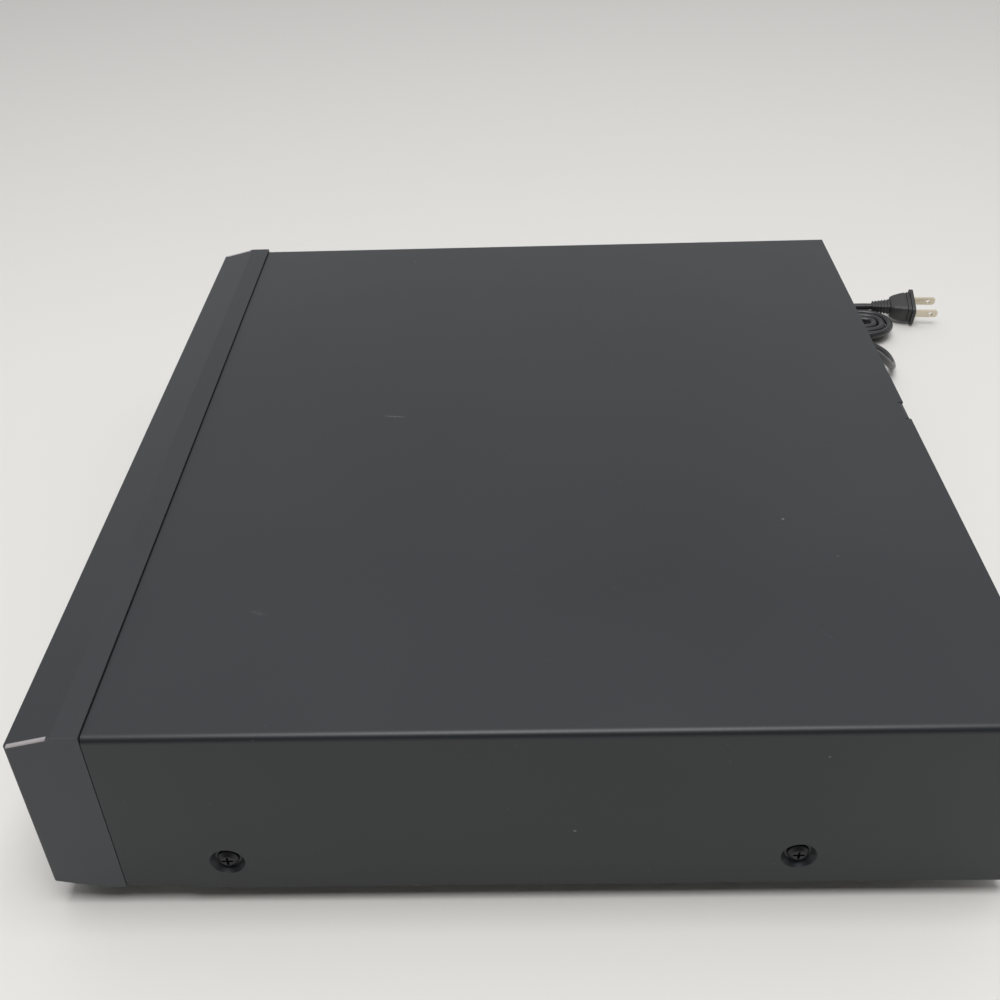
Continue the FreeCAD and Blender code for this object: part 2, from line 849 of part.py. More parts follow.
def rear_panel():
    """The rear panel, with its foot on the pan and a stiffening flange at the top."""
    half = cover_inner - lip_gap
    top = cover_top - sheet - lip_gap
    shapes = [channel(half, panel_inner_y, panel_outer_y, pan_top, top, cover_bend - sheet)]
    fold_half = flange_edge - 3
    shapes.append(block(-fold_half, fold_half, panel_inner_y - 1.6, panel_inner_y, pan_top, pan_top + sheet))
    shapes.append(block(-half + 4, half - 4, panel_inner_y - panel_flange, panel_inner_y, top - sheet, top))
    y0, y1 = panel_inner_y - 1, panel_outer_y + 1
    cuts = [rod_y(x, z, y0, y1, jack_radius + 0.9) for x, z in jack_places]
    cuts.append(rod_y(video_x, socket_z, y0, y1, 6.4))
    cuts.append(block(optical_x - 5.2, optical_x + 5.2, y0, y1, socket_z - 5.2, socket_z + 5.2))
    cuts.append(rod_y(bush_x, bush_height, y0, y1, bush_radius + 0.2))
    cuts.append(rod_y(tab_x, tab_screw_z, y0, y1, 1.5 + screw_clearance))
    cuts += [rod_y(x, z, y0, y1, 1.5 + screw_clearance) for x, z in panel_screws]
    relief = tab_width / 2 + tab_relief
    cuts.append(block(tab_x - relief, tab_x + relief, panel_inner_y, y1, cover_top - 2 * sheet, top + 1))
    return join(shapes).cut(cuts)


def case_screws():
    screws = [side_screw(side, place) for side in (-1, 1) for place in screw_depths]
    screws.append(rear_screw(tab_x, tab_screw_z, rear_y))
    screws += [rear_screw(x, z, panel_outer_y) for x, z in panel_screws]
    return Part.makeCompound(screws)


def av_jack_block():
    """The moulded jack block on the main board, with the six jacks' insulators."""
    body = block(*jack_block_x, panel_inner_y - jack_block_depth, panel_inner_y, board_top, jack_block_top)
    x0, x1 = panel_screws[0][0] - 5, panel_screws[1][0] + 5
    foot = block(x0, x1, panel_inner_y - 9, panel_inner_y, board_top, socket_z + 4)
    y0, y1 = panel_inner_y - 10, panel_inner_y + 1
    foot = foot.cut([
        rod_y(video_x, socket_z, y0, y1, 6.4),
        block(optical_x - 5.2, optical_x + 5.2, y0, y1, socket_z - 5.2, socket_z + 5.2),
    ])
    solid = join([body, foot])
    core_end, core_radius = rear_y + jack_reach - 1.5, jack_radius - 1.1
    cores = [rod_y(x, z, panel_inner_y - 1, core_end, core_radius) for x, z in jack_places]
    holes = [rod_y(x, z, y0, rear_y + jack_reach, jack_bore) for x, z in jack_places]
    holes += [rod_y(x, z, y0, y1, 1.5 + screw_clearance) for x, z in panel_screws]
    return join([solid] + cores).cut(holes)


def av_jack_shells():
    shells = []
    for x, z in jack_places:
        y0, y1 = panel_inner_y, rear_y + jack_reach
        inner = jack_radius - 0.95
        shells.append(turned_along_y(x, z, [
            (inner, y0), (jack_radius, y0), (jack_radius, y1 - 0.5), (jack_radius - 0.4, y1), (inner, y1),
        ]))
    return Part.makeCompound(shells)


def s_video_socket():
    y0, y1 = panel_inner_y - 8, panel_outer_y + 1.5
    body = rod_y(video_x, socket_z, y0, y1, 6.1)
    recess = rod_y(video_x, socket_z, y1 - 6, y1 + 1, 4.7)
    key = block(video_x - 1, video_x + 1, y1 - 6.5, y1 - 0.5, socket_z - 2.6, socket_z - 1.6)
    return join([body.cut(recess), key.common(body)])


def optical_socket():
    y0, y1 = panel_inner_y - 8, panel_outer_y + 1.0
    body = block(optical_x - 5, optical_x + 5, y0, y1, socket_z - 5, socket_z + 5)
    recess = block(optical_x - 3.2, optical_x + 3.2, y1 - 6, y1 + 1, socket_z - 3.2, socket_z + 3.2)
    return body.cut(recess)


def board(side):
    x0, x1 = sorted((side * board_inner_x, side * board_edge))
    return block(x0, x1, board_front_edge_y, board_rear_y, board_bottom, board_top)


def board_part(x, y, width, length, height):
    x0, y0 = x - width / 2, y - length / 2
    return block(x0, x + width / 2, y0, y + length / 2, board_top, board_top + height)


# Places on the main board, from the middle of its front edge
decoder_place = (-4.5, 54.0)
memory_places = [(32.5, 36.0), (32.5, 58.0)]
crystal_place = (-34.5, 98.0)
ribbon_places = [(-36.5, 15.0), (4.5, 15.0)]
ribbon_depth = 6.0
capacitor_row_y = 120.0
capacitor_row_start = 22.0        # from the board's inner edge
capacitor_row_pitch = 12.0


def main_board_parts():
    """The decoder chips, clock can, ribbon sockets and capacitors of the main board."""
    x, y = (board_inner_x + board_edge) / 2, board_front_edge_y
    px, py = decoder_place
    parts = [board_part(x + px, y + py, decoder_size, decoder_size, decoder_height)]
    for px, py in memory_places:
        parts.append(board_part(x + px, y + py, memory_width, memory_length, memory_height))
    px, py = crystal_place
    parts.append(board_part(x + px, y + py, crystal_length, crystal_length / 2.4, crystal_height))
    for px, py in ribbon_places:
        parts.append(board_part(x + px, y + py, ribbon_width, ribbon_depth, ribbon_height))
    row_y, top = y + capacitor_row_y, board_top + small_capacitor_height
    for i in range(small_capacitors):
        place = board_inner_x + capacitor_row_start + capacitor_row_pitch * i
        parts.append(post(place, row_y, board_top, top, small_capacitor_radius))
    return Part.makeCompound(parts)


transformer_x = -(board_inner_x + board_edge) / 2
transformer_y = board_front_edge_y + 92.0


def power_transformer():
    """A laminated core with its bobbin and two winding bulges."""
    x, y = transformer_x, transformer_y
    low, high = board_top + 2, board_top + 2 + core_height
    wide, long = coil_width / 2, coil_length / 2
    core = block(x - core_width / 2, x + core_width / 2, y - core_stack / 2, y + core_stack / 2, low, high)
    coil = rounded_box(x - wide, x + wide, y - long, y + long, low + 1, high - 1, 4)
    pins = block(x - wide - 5, x + wide + 5, y - long, y + long, board_top, low + 1)
    return join([core, coil, pins])


# The capacitors' places, from the transformer's middle
large_can_place = (-38.0, -22.0)
small_can_place = (34.0, -30.0)
small_can_pitch = 15.0


def filter_capacitors():
    """One large capacitor beside the transformer and a row of four smaller ones."""
    x, y = transformer_x + large_can_place[0], transformer_y + large_can_place[1]
    cans = [post(x, y, board_top, board_top + large_capacitor_height, large_capacitor_radius)]
    x, y = transformer_x + small_can_place[0], transformer_y + small_can_place[1]
    for i in range(4):
        radius = large_capacitor_radius * (0.62 - 0.03 * i)
        height = large_capacitor_height * (0.8 - 0.05 * i)
        cans.append(post(x, y + small_can_pitch * i, board_top, board_top + height, radius))
    return Part.makeCompound(cans)


def heat_sink():
    """A finned heat sink over the power transistors."""
    x0, y = transformer_x - 4 - sink_width / 2, transformer_y - 52
    top = board_top + sink_height
    pitch = (sink_width - 1.4) / 6
    shapes = [block(x0, x0 + sink_width, y, y + 2, board_top, top)]
    for i in range(7):
        fin_x = x0 + pitch * i
        shapes.append(block(fin_x, fin_x + 1.4, y, y + sink_fin, board_top, top))
    return join(shapes)


guide_low = tray_bottom + 0.5
guide_high = guide_low + tongue_height + guide_play
wall_inner = tongue_edge + guide_end_gap
motor_x = load_gear_x + load_module * (load_gear_teeth + load_pinion_teeth) / 2 + belt_span
pulley_x = motor_x - belt_span
load_y = depth(load_gear_depth)
opening_front_y = spindle_y - traverse_front_reach
opening_rear_y = spindle_y + traverse_rear_reach
skirt_bottom = deck_bottom - skirt_height
cam_pin_top = cam_pin_z + lift_travel
cam_rear_y = opening_front_y - skirt_wall - 0.2
cam_front_y = cam_rear_y - cam_thickness
cam_bottom = cam_pin_z - cam_pin_radius - cam_margin
cam_top = deck_bottom - 0.2
cam_run = cam_ratio * lift_travel
cam_x0 = -cam_pin_spread - cam_run - cam_pin_radius - 4
cam_x1 = cam_pin_spread + 22
hook_places = (-30.0, 55.0)
tower_half = bridge_width / 2 + 2


def mechanism_deck():
    """The moulded deck that carries the drawer guides, the gears and the disc traverse."""
    y0, y1 = depth(deck_front_depth), depth(deck_rear_depth)
    shapes = [block(-deck_half, deck_half, y0, y1, deck_bottom, deck_top)]
    side_top = deck_top + deck_side_height
    tower = (spindle_y - tower_half, spindle_y + tower_half)
    side = [
        block(wall_inner, deck_half, y0, y1, deck_bottom, side_top),
        block(wall_inner, deck_half, *tower, deck_bottom, bridge_bottom),
        block(tray_half + guide_gap, wall_inner + 0.5, y0, y1, guide_low - guide_thickness, guide_low),
        block(tray_half + guide_gap, wall_inner + 0.5, y0, y1, guide_high, guide_high + 2),
    ]
    for shape in side:
        shapes += both_sides(shape)
    half = traverse_half_width
    skirt = block(
        -half - skirt_wall, half + skirt_wall, opening_front_y - skirt_wall, opening_rear_y + skirt_wall,
        skirt_bottom, deck_top,
    )
    opening = block(-half, half, opening_front_y, opening_rear_y, skirt_bottom - 1, deck_top + 1)
    shapes.append(skirt)
    for x in hook_places:
        y0, z0 = cam_front_y - 2.4, cam_bottom - 2.4
        shapes.append(block(x - 5, x + 5, y0, cam_front_y - 0.2, z0, deck_bottom + 1))
        shapes.append(block(x - 5, x + 5, y0, opening_front_y - 1, z0, cam_bottom - 0.2))
    shapes.append(post(load_gear_x, load_y, deck_top, rack_bottom + 0.2, 5.0))
    shapes.append(post(load_gear_x, load_y, deck_top, tray_bottom - 0.4, gear_axle_radius))
    shapes.append(post(pulley_x, load_y, deck_top, deck_top + 0.5, 5.0))
    shapes.append(post(pulley_x, load_y, deck_top, tray_bottom - 0.4, gear_axle_radius))
    cuts = [opening]
    for x in (-cam_pin_spread, cam_pin_spread):
        wide = cam_pin_radius + running_fit
        slot_y = (opening_front_y - skirt_wall - 1, opening_front_y + 1)
        cuts.append(block(x - wide, x + wide, *slot_y, cam_pin_z, cam_pin_top))
        cuts.append(rod_y(x, cam_pin_z, *slot_y, wide))
        cuts.append(rod_y(x, cam_pin_top, *slot_y, wide))
    cuts.append(post(motor_x, load_y, deck_bottom - 1, deck_top + 1, 4.0))
    cuts += [post(x, y, deck_bottom - 1, deck_top + 1, 1.5 + screw_clearance) for x, y in deck_post_places]
    for x, y in bridge_screw_places:
        cuts.append(post(x, y, bridge_bottom - 7, bridge_bottom + 1, 0.8))
    return join(shapes).cut(cuts)


bridge_screw_places = [
    (side * (wall_inner + deck_wall / 2), spindle_y + place)
    for side in (-1, 1)
    for place in (-bridge_width / 2 + 6, bridge_width / 2 - 6)
]


def deck_screws():
    screws = [screw(x, y, deck_top, deck_bottom - 7, 1.5, 3.2, 1.8) for x, y in deck_post_places]
    screws += [
        screw(x, y, bridge_bottom + deck_thickness, bridge_bottom - 5, 0.6, 2.0, 1.4)
        for x, y in bridge_screw_places
    ]
    return Part.makeCompound(screws)


def clamp_bridge():
    """The bridge over the drawer that holds the disc clamp above the spindle."""
    y0, y1 = spindle_y - bridge_width / 2, spindle_y + bridge_width / 2
    top = bridge_bottom + deck_thickness
    shapes = [block(-deck_half, deck_half, y0, y1, bridge_bottom, top)]
    shapes.append(block(-deck_half + 12, deck_half - 12, y0, y0 + 2, top, top + bridge_rib))
    shapes.append(block(-deck_half + 12, deck_half - 12, y1 - 2, y1, top, top + bridge_rib))
    shapes.append(post(0, spindle_y, bridge_bottom, top + 4, puck_hole + 6))
    cuts = [
        post(0, spindle_y, bridge_bottom - 1, top + 1, puck_hole),
        post(0, spindle_y, top, top + 5, puck_hole + 4.2),
    ]
    cuts += [post(x, y, bridge_bottom - 1, top + 1, 0.8) for x, y in bridge_screw_places]
    return join(shapes).cut(cuts)


def clamp_puck():
    """The free-turning clamp: it hangs in the bridge by its upper flange."""
    top = bridge_bottom + deck_thickness
    neck = puck_hole - 0.6
    return turned(0, spindle_y, [
        (8.2, puck_bottom),
        (hub_radius, puck_bottom),
        (hub_radius, puck_bottom + 2.5),
        (neck, puck_bottom + 3.2),
        (neck, top),
        (puck_hole + 3, top),
        (puck_hole + 3, top + 2),
        (0, top + 2),
        (0, puck_bottom + 2.4),
        (8.2, puck_bottom + 2.4),
    ])


def drawer_tray():
    """The sliding tray: floor, low walls, side tongues, toothed rack and motor bracket."""
    inner = tray_half - tray_wall
    y0, y1 = depth(tray_front), depth(tray_rear)
    shapes = [block(-tray_half, tray_half, y0, y1, tray_bottom, tray_top)]
    side_top = tray_bottom + tray_side_height
    shapes += both_sides(block(inner, tray_half, y0, y1, tray_bottom, side_top))
    shapes += both_sides(block(inner + 1, tongue_edge, y0 + 4, y1, guide_low, guide_low + tongue_height))
    shapes.append(block(-tray_half, tray_half, y0, y0 + tray_wall, tray_bottom, drawer_top - 5))
    shapes.append(block(-tray_half, tray_half, y1 - tray_wall, y1, tray_bottom, side_top))
    shapes.append(post(0, carousel_y, tray_top - 1, tray_top + collar_lift, collar_radius + 2))
    shapes.append(post(0, carousel_y, tray_top - 1, carousel_top - 1, axle_radius))
    shapes.append(drawer_rack())
    shapes += motor_bracket()
    opening_half = traverse_half_width - tray_opening_gap
    cuts = [block(
        -opening_half, opening_half, opening_front_y - 7, y1 + 1, tray_bottom - 1, side_top + 1,
    )]
    cuts.append(post(drive_x, drive_y, carousel_bottom, carousel_bottom + 4, motor_shaft_radius + 1.2))
    return join(shapes).cut(cuts)


def drawer_rack():
    pitch_x = load_gear_x - load_module * load_gear_teeth / 2
    pitch = math.pi * load_module
    travel_teeth = math.ceil(drawer_travel / pitch) + 4
    return rack(
        pitch_x, pitch_x - 1.15 * load_module - rack_back, 1, load_y - 2 * pitch, travel_teeth,
        load_module, rack_bottom, tray_bottom + 0.5,
    )


def motor_bracket():
    """The corner bracket that holds the carousel's motor over its gear."""
    z0, z1 = carousel_bottom + 1, carousel_bottom + 3
    out = math.radians(drive_angle)
    reach = carousel_pinion_teeth * carousel_module / 2 + 9.5
    foot_x, foot_y = drive_x + reach * math.cos(out), drive_y + reach * math.sin(out)
    across = V(-math.sin(out), math.cos(out), 0) * 5
    ends = [V(drive_x, drive_y, z0), V(foot_x, foot_y, z0)]
    arm = face_of([ends[0] + across, ends[0] - across, ends[1] - across, ends[1] + across])
    return [
        post(foot_x, foot_y, tray_top - 1, z1, 5.0),
        arm.extrude(V(0, 0, z1 - z0)),
        post(drive_x, drive_y, z0, z1, carousel_motor_radius + 1.0),
    ]


def drawer_front():
    """The drawer's front plate, with a finger bevel below and ribs to the tray."""
    y1 = front_y + drawer_front_thickness
    outline = [
        (y1, drawer_bottom), (front_y + 1.6, drawer_bottom), (front_y, drawer_bottom + 2.2),
        (front_y, drawer_top - 0.8), (front_y + 0.8, drawer_top), (y1, drawer_top),
    ]
    shapes = [prism_x(outline, -drawer_front_half, drawer_front_half)]
    for x in (-150, -50, 50, 150):
        shapes.append(block(x - 1.5, x + 1.5, y1 - 0.5, depth(tray_front), drawer_bottom + 8, drawer_top - 7))
    return join(shapes)


def well_cuts(angle):
    """Everything one disc place takes out of the carousel, at an angle in radians."""
    cx, cy = math.cos(angle), math.sin(angle)
    x, y = well_pitch_radius * cx, carousel_y + well_pitch_radius * cy
    cuts = [
        post(x, y, well_floor, carousel_top + 1, well_radius),
        post(x, y, well_floor - small_well_depth, well_floor + 1, small_disc_radius + well_clearance),
        post(x, y, carousel_bottom - 1, carousel_top + 1, hub_hole_radius),
    ]
    half = slot_width / 2
    far = slot_reach - half
    corners = ((0, -half), (0, half), (-far, half), (-far, -half))
    outline = [(x + cx * a - cy * b, y + cy * a + cx * b) for a, b in corners]
    cuts.append(prism_z(outline, carousel_bottom - 1, carousel_top + 1))
    cuts.append(post(x - cx * far, y - cy * far, carousel_bottom - 1, carousel_top + 1, half))
    middle = angle + math.pi / well_count
    notch = carousel_radius + finger_radius / 3
    notch_x, notch_y = notch * math.cos(middle), carousel_y + notch * math.sin(middle)
    cuts.append(post(notch_x, notch_y, carousel_bottom - 1, carousel_top + 1, finger_radius))
    return cuts


def carousel_table():
    """The turning table: five disc wells above, hub, ribs and gear ring below."""
    turn = math.radians(drive_angle)
    outer = carousel_radius
    plate = turned(0, carousel_y, [
        (0, carousel_bottom), (outer - 1, carousel_bottom), (outer, carousel_bottom + 1),
        (outer, carousel_top - 0.8), (outer - 0.8, carousel_top), (0, carousel_top),
    ])
    ring = gear(0, carousel_y, ring_bottom, carousel_bottom + 0.5, ring_teeth, carousel_module, turn)
    ring_inner = ring_radius - 1.15 * carousel_module - 2.5
    ring = ring.cut(post(0, carousel_y, ring_bottom - 1, carousel_bottom + 1, ring_inner))
    hub = post(0, carousel_y, tray_top + collar_lift, carousel_bottom + 0.5, collar_radius)
    shapes = [ring, hub]
    cuts = []
    for i in range(well_count):
        angle = math.pi / 2 + 2 * math.pi * i / well_count
        cuts += well_cuts(angle)
        middle = angle + math.pi / well_count
        rib = block(
            collar_radius - 1, ring_inner + 1, -carousel_rib / 2, carousel_rib / 2, ring_bottom, carousel_bottom + 0.5,
        )
        rib.rotate(V(0, 0, 0), Z, math.degrees(middle))
        rib.translate(V(0, carousel_y, 0))
        shapes.append(rib)
    bore = post(0, carousel_y, tray_top, carousel_top + 1, axle_radius + axle_fit)
    return join([plate.cut(cuts)] + shapes).cut(bore)


def carousel_cap():
    top = carousel_top
    return turned(0, carousel_y, [
        (0, top - 0.7), (axle_radius - 0.4, top - 0.7), (axle_radius - 0.4, top), (cap_radius, top),
        (cap_radius - 0.8, top + cap_height - 1), (cap_radius - 4, top + cap_height), (0, top + cap_height),
    ])


def carousel_motor():
    """A small geared motor, shaft down, on the drawer's corner bracket."""
    low = carousel_bottom + 3
    high = low + carousel_motor_height
    return join([
        post(drive_x, drive_y, low, high, carousel_motor_radius),
        post(drive_x, drive_y, high - 0.5, high + 1.5, 4.0),
        post(drive_x, drive_y, ring_bottom + 0.5, low + 0.5, motor_shaft_radius),
    ])


def carousel_drive_gear():
    turn = math.radians(drive_angle) + math.pi + math.pi / carousel_pinion_teeth
    body = gear(
        drive_x, drive_y, ring_bottom, ring_bottom + ring_gear_height - 0.5, carousel_pinion_teeth,
        carousel_module, turn,
    )
    return body.cut(post(drive_x, drive_y, ring_bottom - 1, carousel_bottom + 1, motor_shaft_radius + 0.04))


def load_drive_gear():
    """The gear that drives the drawer's rack, on its deck post."""
    turn = math.pi + math.pi / load_gear_teeth
    z0 = rack_bottom + 0.2
    body = gear(load_gear_x, load_y, z0, z0 + load_gear_thickness, load_gear_teeth, load_module, turn)
    return body.cut(post(load_gear_x, load_y, z0 - 1, z0 + 4, gear_axle_radius + running_fit))


def load_pulley_gear():
    """A belt pulley with its pinion on top."""
    z0 = deck_top + 0.5
    z1 = z0 + pulley_height
    turn = math.pi + (load_gear_teeth % 2) * math.pi / load_pinion_teeth
    pinion = gear(
        pulley_x, load_y, rack_bottom + 0.2, rack_bottom + 0.2 + load_gear_thickness, load_pinion_teeth,
        load_module, turn,
    )
    pulley = turned(pulley_x, load_y, pulley_outline(pulley_radius, z0, z1))
    neck = post(pulley_x, load_y, z1 - 0.5, rack_bottom + 0.5, 5.0)
    bore = post(pulley_x, load_y, z0 - 1, tray_bottom, gear_axle_radius + running_fit)
    return join([pulley, neck, pinion]).cut(bore)


def pulley_outline(radius, z0, z1):
    """A grooved pulley: its rim stands a belt's thickness over the groove."""
    middle = (z0 + z1) / 2
    groove = belt_width / 2 + 0.1
    rim = radius + belt_thickness * 0.8
    return [
        (0, z0), (rim, z0), (rim, middle - groove), (radius, middle - groove),
        (radius, middle + groove), (rim, middle + groove), (rim, z1), (0, z1),
    ]


def load_motor_pulley():
    z0 = deck_top + 0.5
    pulley = turned(motor_x, load_y, pulley_outline(motor_pulley_radius, z0, z0 + pulley_height))
    return pulley.cut(post(motor_x, load_y, z0 - 1, z0 + pulley_height + 1, motor_shaft_radius + 0.04))


def load_motor():
    low = deck_bottom - load_motor_height
    return join([
        post(motor_x, load_y, low, deck_bottom, load_motor_radius),
        post(motor_x, load_y, low - 1.5, low + 0.5, 4.0),
        post(motor_x, load_y, deck_bottom - 0.5, deck_top + 0.5 + pulley_height + 0.3, motor_shaft_radius),
    ])


def loop_outline(big, small, span):
    """The line of a belt round a big circle at 0 and a small one at span, as a wire at z = 0."""
    tilt = math.acos((big - small) / span)
    top = V(math.cos(tilt), math.sin(tilt), 0)
    low = V(math.cos(tilt), -math.sin(tilt), 0)
    far = V(span, 0, 0)
    edges = [
        Part.makeLine(top * big, far + top * small),
        Part.Arc(far + top * small, far + V(small, 0, 0), far + low * small).toShape(),
        Part.makeLine(far + low * small, low * big),
        Part.Arc(low * big, V(-big, 0, 0), top * big).toShape(),
    ]
    return Part.Wire(edges)


def load_belt():
    gap = running_fit
    reach = gap + belt_thickness
    outer = Part.Face(loop_outline(pulley_radius + reach, motor_pulley_radius + reach, belt_span))
    inner = Part.Face(loop_outline(pulley_radius + gap, motor_pulley_radius + gap, belt_span))
    belt = outer.cut(inner).extrude(V(0, 0, belt_width))
    belt.translate(V(pulley_x, load_y, deck_top + 0.5 + (pulley_height - belt_width) / 2))
    return belt


def cam_slider():
    """The sliding cam plate: two inclined slots lift the traverse's pins."""
    plate = block(cam_x0, cam_x1, cam_front_y, cam_rear_y, cam_bottom, cam_top)
    wide = cam_pin_radius + running_fit
    run = V(-cam_run, 0, lift_travel)
    side = V(lift_travel, 0, cam_run).normalize() * wide
    cuts = []
    for x in (-cam_pin_spread, cam_pin_spread):
        start = V(x, cam_front_y - 1, cam_pin_z)
        slot = face_of([start + side, start + run + side, start + run - side, start - side])
        cuts.append(slot.extrude(V(0, cam_thickness + 2, 0)))
        cuts.append(rod_y(x, cam_pin_z, cam_front_y - 1, cam_rear_y + 1, wide))
        cuts.append(rod_y(x - cam_run, cam_pin_top, cam_front_y - 1, cam_rear_y + 1, wide))
    return plate.cut(cuts)


holder_front = (opening_front_y + 6.5, opening_front_y + 12)
holder_rear = (spindle_y - 8.5, spindle_y - 3.5)
sled_y = spindle_y - sled_near
sled_gear_x = -shaft_spread - rack_reach - sled_module * sled_gear_teeth / 2
sled_gear_y = spindle_y - 42.5


def traverse_base():
    """The lifting base: plate, rim, cam pins and the pickup shafts' holders."""
    half = traverse_half_width - slide_gap
    y0, y1 = opening_front_y + slide_gap, opening_rear_y - slide_gap
    plate = block(-half, half, y0, y1, base_bottom, base_top + base_rim)
    well = block(-half + 2, half - 2, y0 + 2, y1 - 2, base_top, base_top + base_rim + 1)
    shapes = [plate.cut(well)]
    skirt_low = cam_pin_z - cam_pin_radius - 1.5
    shapes.append(block(-cam_pin_spread - 10, cam_pin_spread + 10, y0, y0 + 2.5, skirt_low, base_bottom + 1))
    for x in (-cam_pin_spread, cam_pin_spread):
        shapes.append(rod_y(x, cam_pin_z, cam_front_y + 0.2, y0 + 1, cam_pin_radius))
    for x in (-shaft_spread, shaft_spread):
        for y_low, y_high in (holder_front, holder_rear):
            shapes.append(block(x - 3.5, x + 3.5, y_low, y_high, base_top - 1, shaft_z + shaft_radius + 1.5))
    opening_end = spindle_y - spindle_motor_radius - 3
    cuts = [block(-22, 22, opening_front_y + 12, opening_end, base_bottom - 1, base_top + 1)]
    for x in (-shaft_spread, shaft_spread):
        cuts.append(rod_y(x, shaft_z, holder_front[0] + 1, holder_rear[1] - 1, shaft_radius + 0.1))
    cuts.append(post(sled_gear_x, sled_gear_y, base_bottom - 1, base_top + 1, 3.0))
    return join(shapes).cut(cuts)


def spindle_motor():
    """The disc motor: a flat can on the base, with its shaft up."""
    return join([
        turned(0, spindle_y, [
            (0, base_top), (spindle_motor_radius, base_top), (spindle_motor_radius, motor_top - 1.5),
            (spindle_motor_radius - 1.5, motor_top), (0, motor_top),
        ]),
        post(0, spindle_y, motor_top - 0.5, hub_low + hub_cone_height - 0.4, motor_shaft_radius),
    ])


def disc_hub():
    """The turntable: a flat rim for the disc and a centring cone."""
    low = motor_top + motor_gap
    seat = hub_low
    return turned(0, spindle_y, [
        (motor_shaft_radius + 0.04, low), (hub_boss_radius, low), (hub_boss_radius, seat - hub_flange),
        (hub_radius, seat - hub_flange), (hub_radius, seat), (hub_cone_radius, seat),
        (hub_cone_radius, seat + 1), (hub_cone_radius - 1.3, seat + hub_cone_height),
        (motor_shaft_radius + 0.04, seat + hub_cone_height),
    ])


def guide_shafts():
    y0, y1 = holder_front[0] + 1, holder_rear[1] - 1
    return Part.makeCompound([rod_y(x, shaft_z, y0, y1, shaft_radius) for x in (-shaft_spread, shaft_spread)])


def pickup_sled():
    """The pickup: two shaft bearings, a lens block in the carousel's slot and a toothed rack."""
    y0, y1 = sled_y - sled_front, sled_y + sled_rear
    low, high = shaft_z - 2.4, base_top + sled_top
    edge = shaft_spread + 4.5
    body = block(-edge, edge, y0, y1, low, high)
    top = rounded_upright(-10, 10, y0 + 1, y1, high - 0.5, well_floor - lift_travel - 0.4, 2)
    lens = turned(0, sled_y, [
        (0, well_floor - lift_travel - 1), (lens_radius, well_floor - lift_travel - 1),
        (lens_radius, well_floor - lift_travel + 0.3), (lens_radius - 1, well_floor - lift_travel + 0.9),
        (0, well_floor - lift_travel + 0.9),
    ])
    pitch = math.pi * sled_module
    pitch_x = -shaft_spread - rack_reach
    teeth = rack(
        pitch_x, -edge + 0.5, -1, sled_gear_y - 3 * pitch + pitch / 2, 19, sled_module,
        base_top + 4, base_top + 4 + sled_gear_height,
    )
    bore = shaft_radius + running_fit
    cuts = [rod_y(x, shaft_z, y0 - 1, y1 + 1, bore) for x in (-shaft_spread, shaft_spread)]
    cuts.append(block(-22, 22, y0 - 1, y0 + 5, low - 1, high - 2.5))
    return join([body, top, lens, teeth]).cut(cuts)


def rounded_upright(x0, x1, y0, y1, z0, z1, radius):
    solid = block(x0, x1, y0, y1, z0, z1)
    edges = [e for e in solid.Edges if abs(e.tangentAt(e.FirstParameter).z) > 0.9]
    return solid.makeFillet(radius, edges)


def sled_gear():
    z0 = base_top + 4
    body = gear(sled_gear_x, sled_gear_y, z0, z0 + sled_gear_height, sled_gear_teeth, sled_module, 0.0)
    return body.cut(post(sled_gear_x, sled_gear_y, z0 - 1, z0 + 5, motor_shaft_radius + 0.04))


def sled_motor():
    low = base_bottom - sled_motor_height
    return join([
        post(sled_gear_x, sled_gear_y, low, base_bottom, sled_motor_radius),
        post(sled_gear_x, sled_gear_y, base_bottom - 0.5, base_top + 4 + sled_gear_height, motor_shaft_radius),
    ])


def cord_bush():
    """The strain relief: a flanged bush in the rear panel with a ringed, tapered tail."""
    y0, y1 = panel_outer_y, panel_outer_y + bush_reach
    outline = [
        (0, y0 - 8), (bush_radius, y0 - 8), (bush_radius, y0), (bush_radius + 2, y0), (bush_radius + 2, y0 + 2),
    ]
    rings = 3
    ring_step = (bush_reach - 3) / rings
    for i in range(rings):
        radius = bush_radius - 0.6 - (bush_radius - 0.6 - bush_tip_radius) * i / rings
        start = y0 + 2 + ring_step * i
        outline += [(radius - 0.9, start), (radius - 0.9, start + 0.9), (radius, start + 0.9)]
        outline += [(radius - 0.4, start + ring_step)]
    outline += [(bush_tip_radius, y1), (0, y1)]
    return turned_along_y(bush_x, bush_height, outline)


# The cord's free stretch, point by point, from the bush down to the floor and round into the hank
layer_step = cord_diameter + layer_gap
strand_step = cord_diameter + strand_gap
hank_low = cord_diameter / 2 + tie_thickness + tie_gap
hank_heading = V(-math.sin(math.radians(hank_turn)), -math.cos(math.radians(hank_turn)), 0)
hank_across = V(math.cos(math.radians(hank_turn)), -math.sin(math.radians(hank_turn)), 0)


def hank_point(along, across, height):
    """A point of the hank: along its runs towards the front, across them, and up."""
    return V(hank_x, hank_y, height) + hank_heading * along + hank_across * across


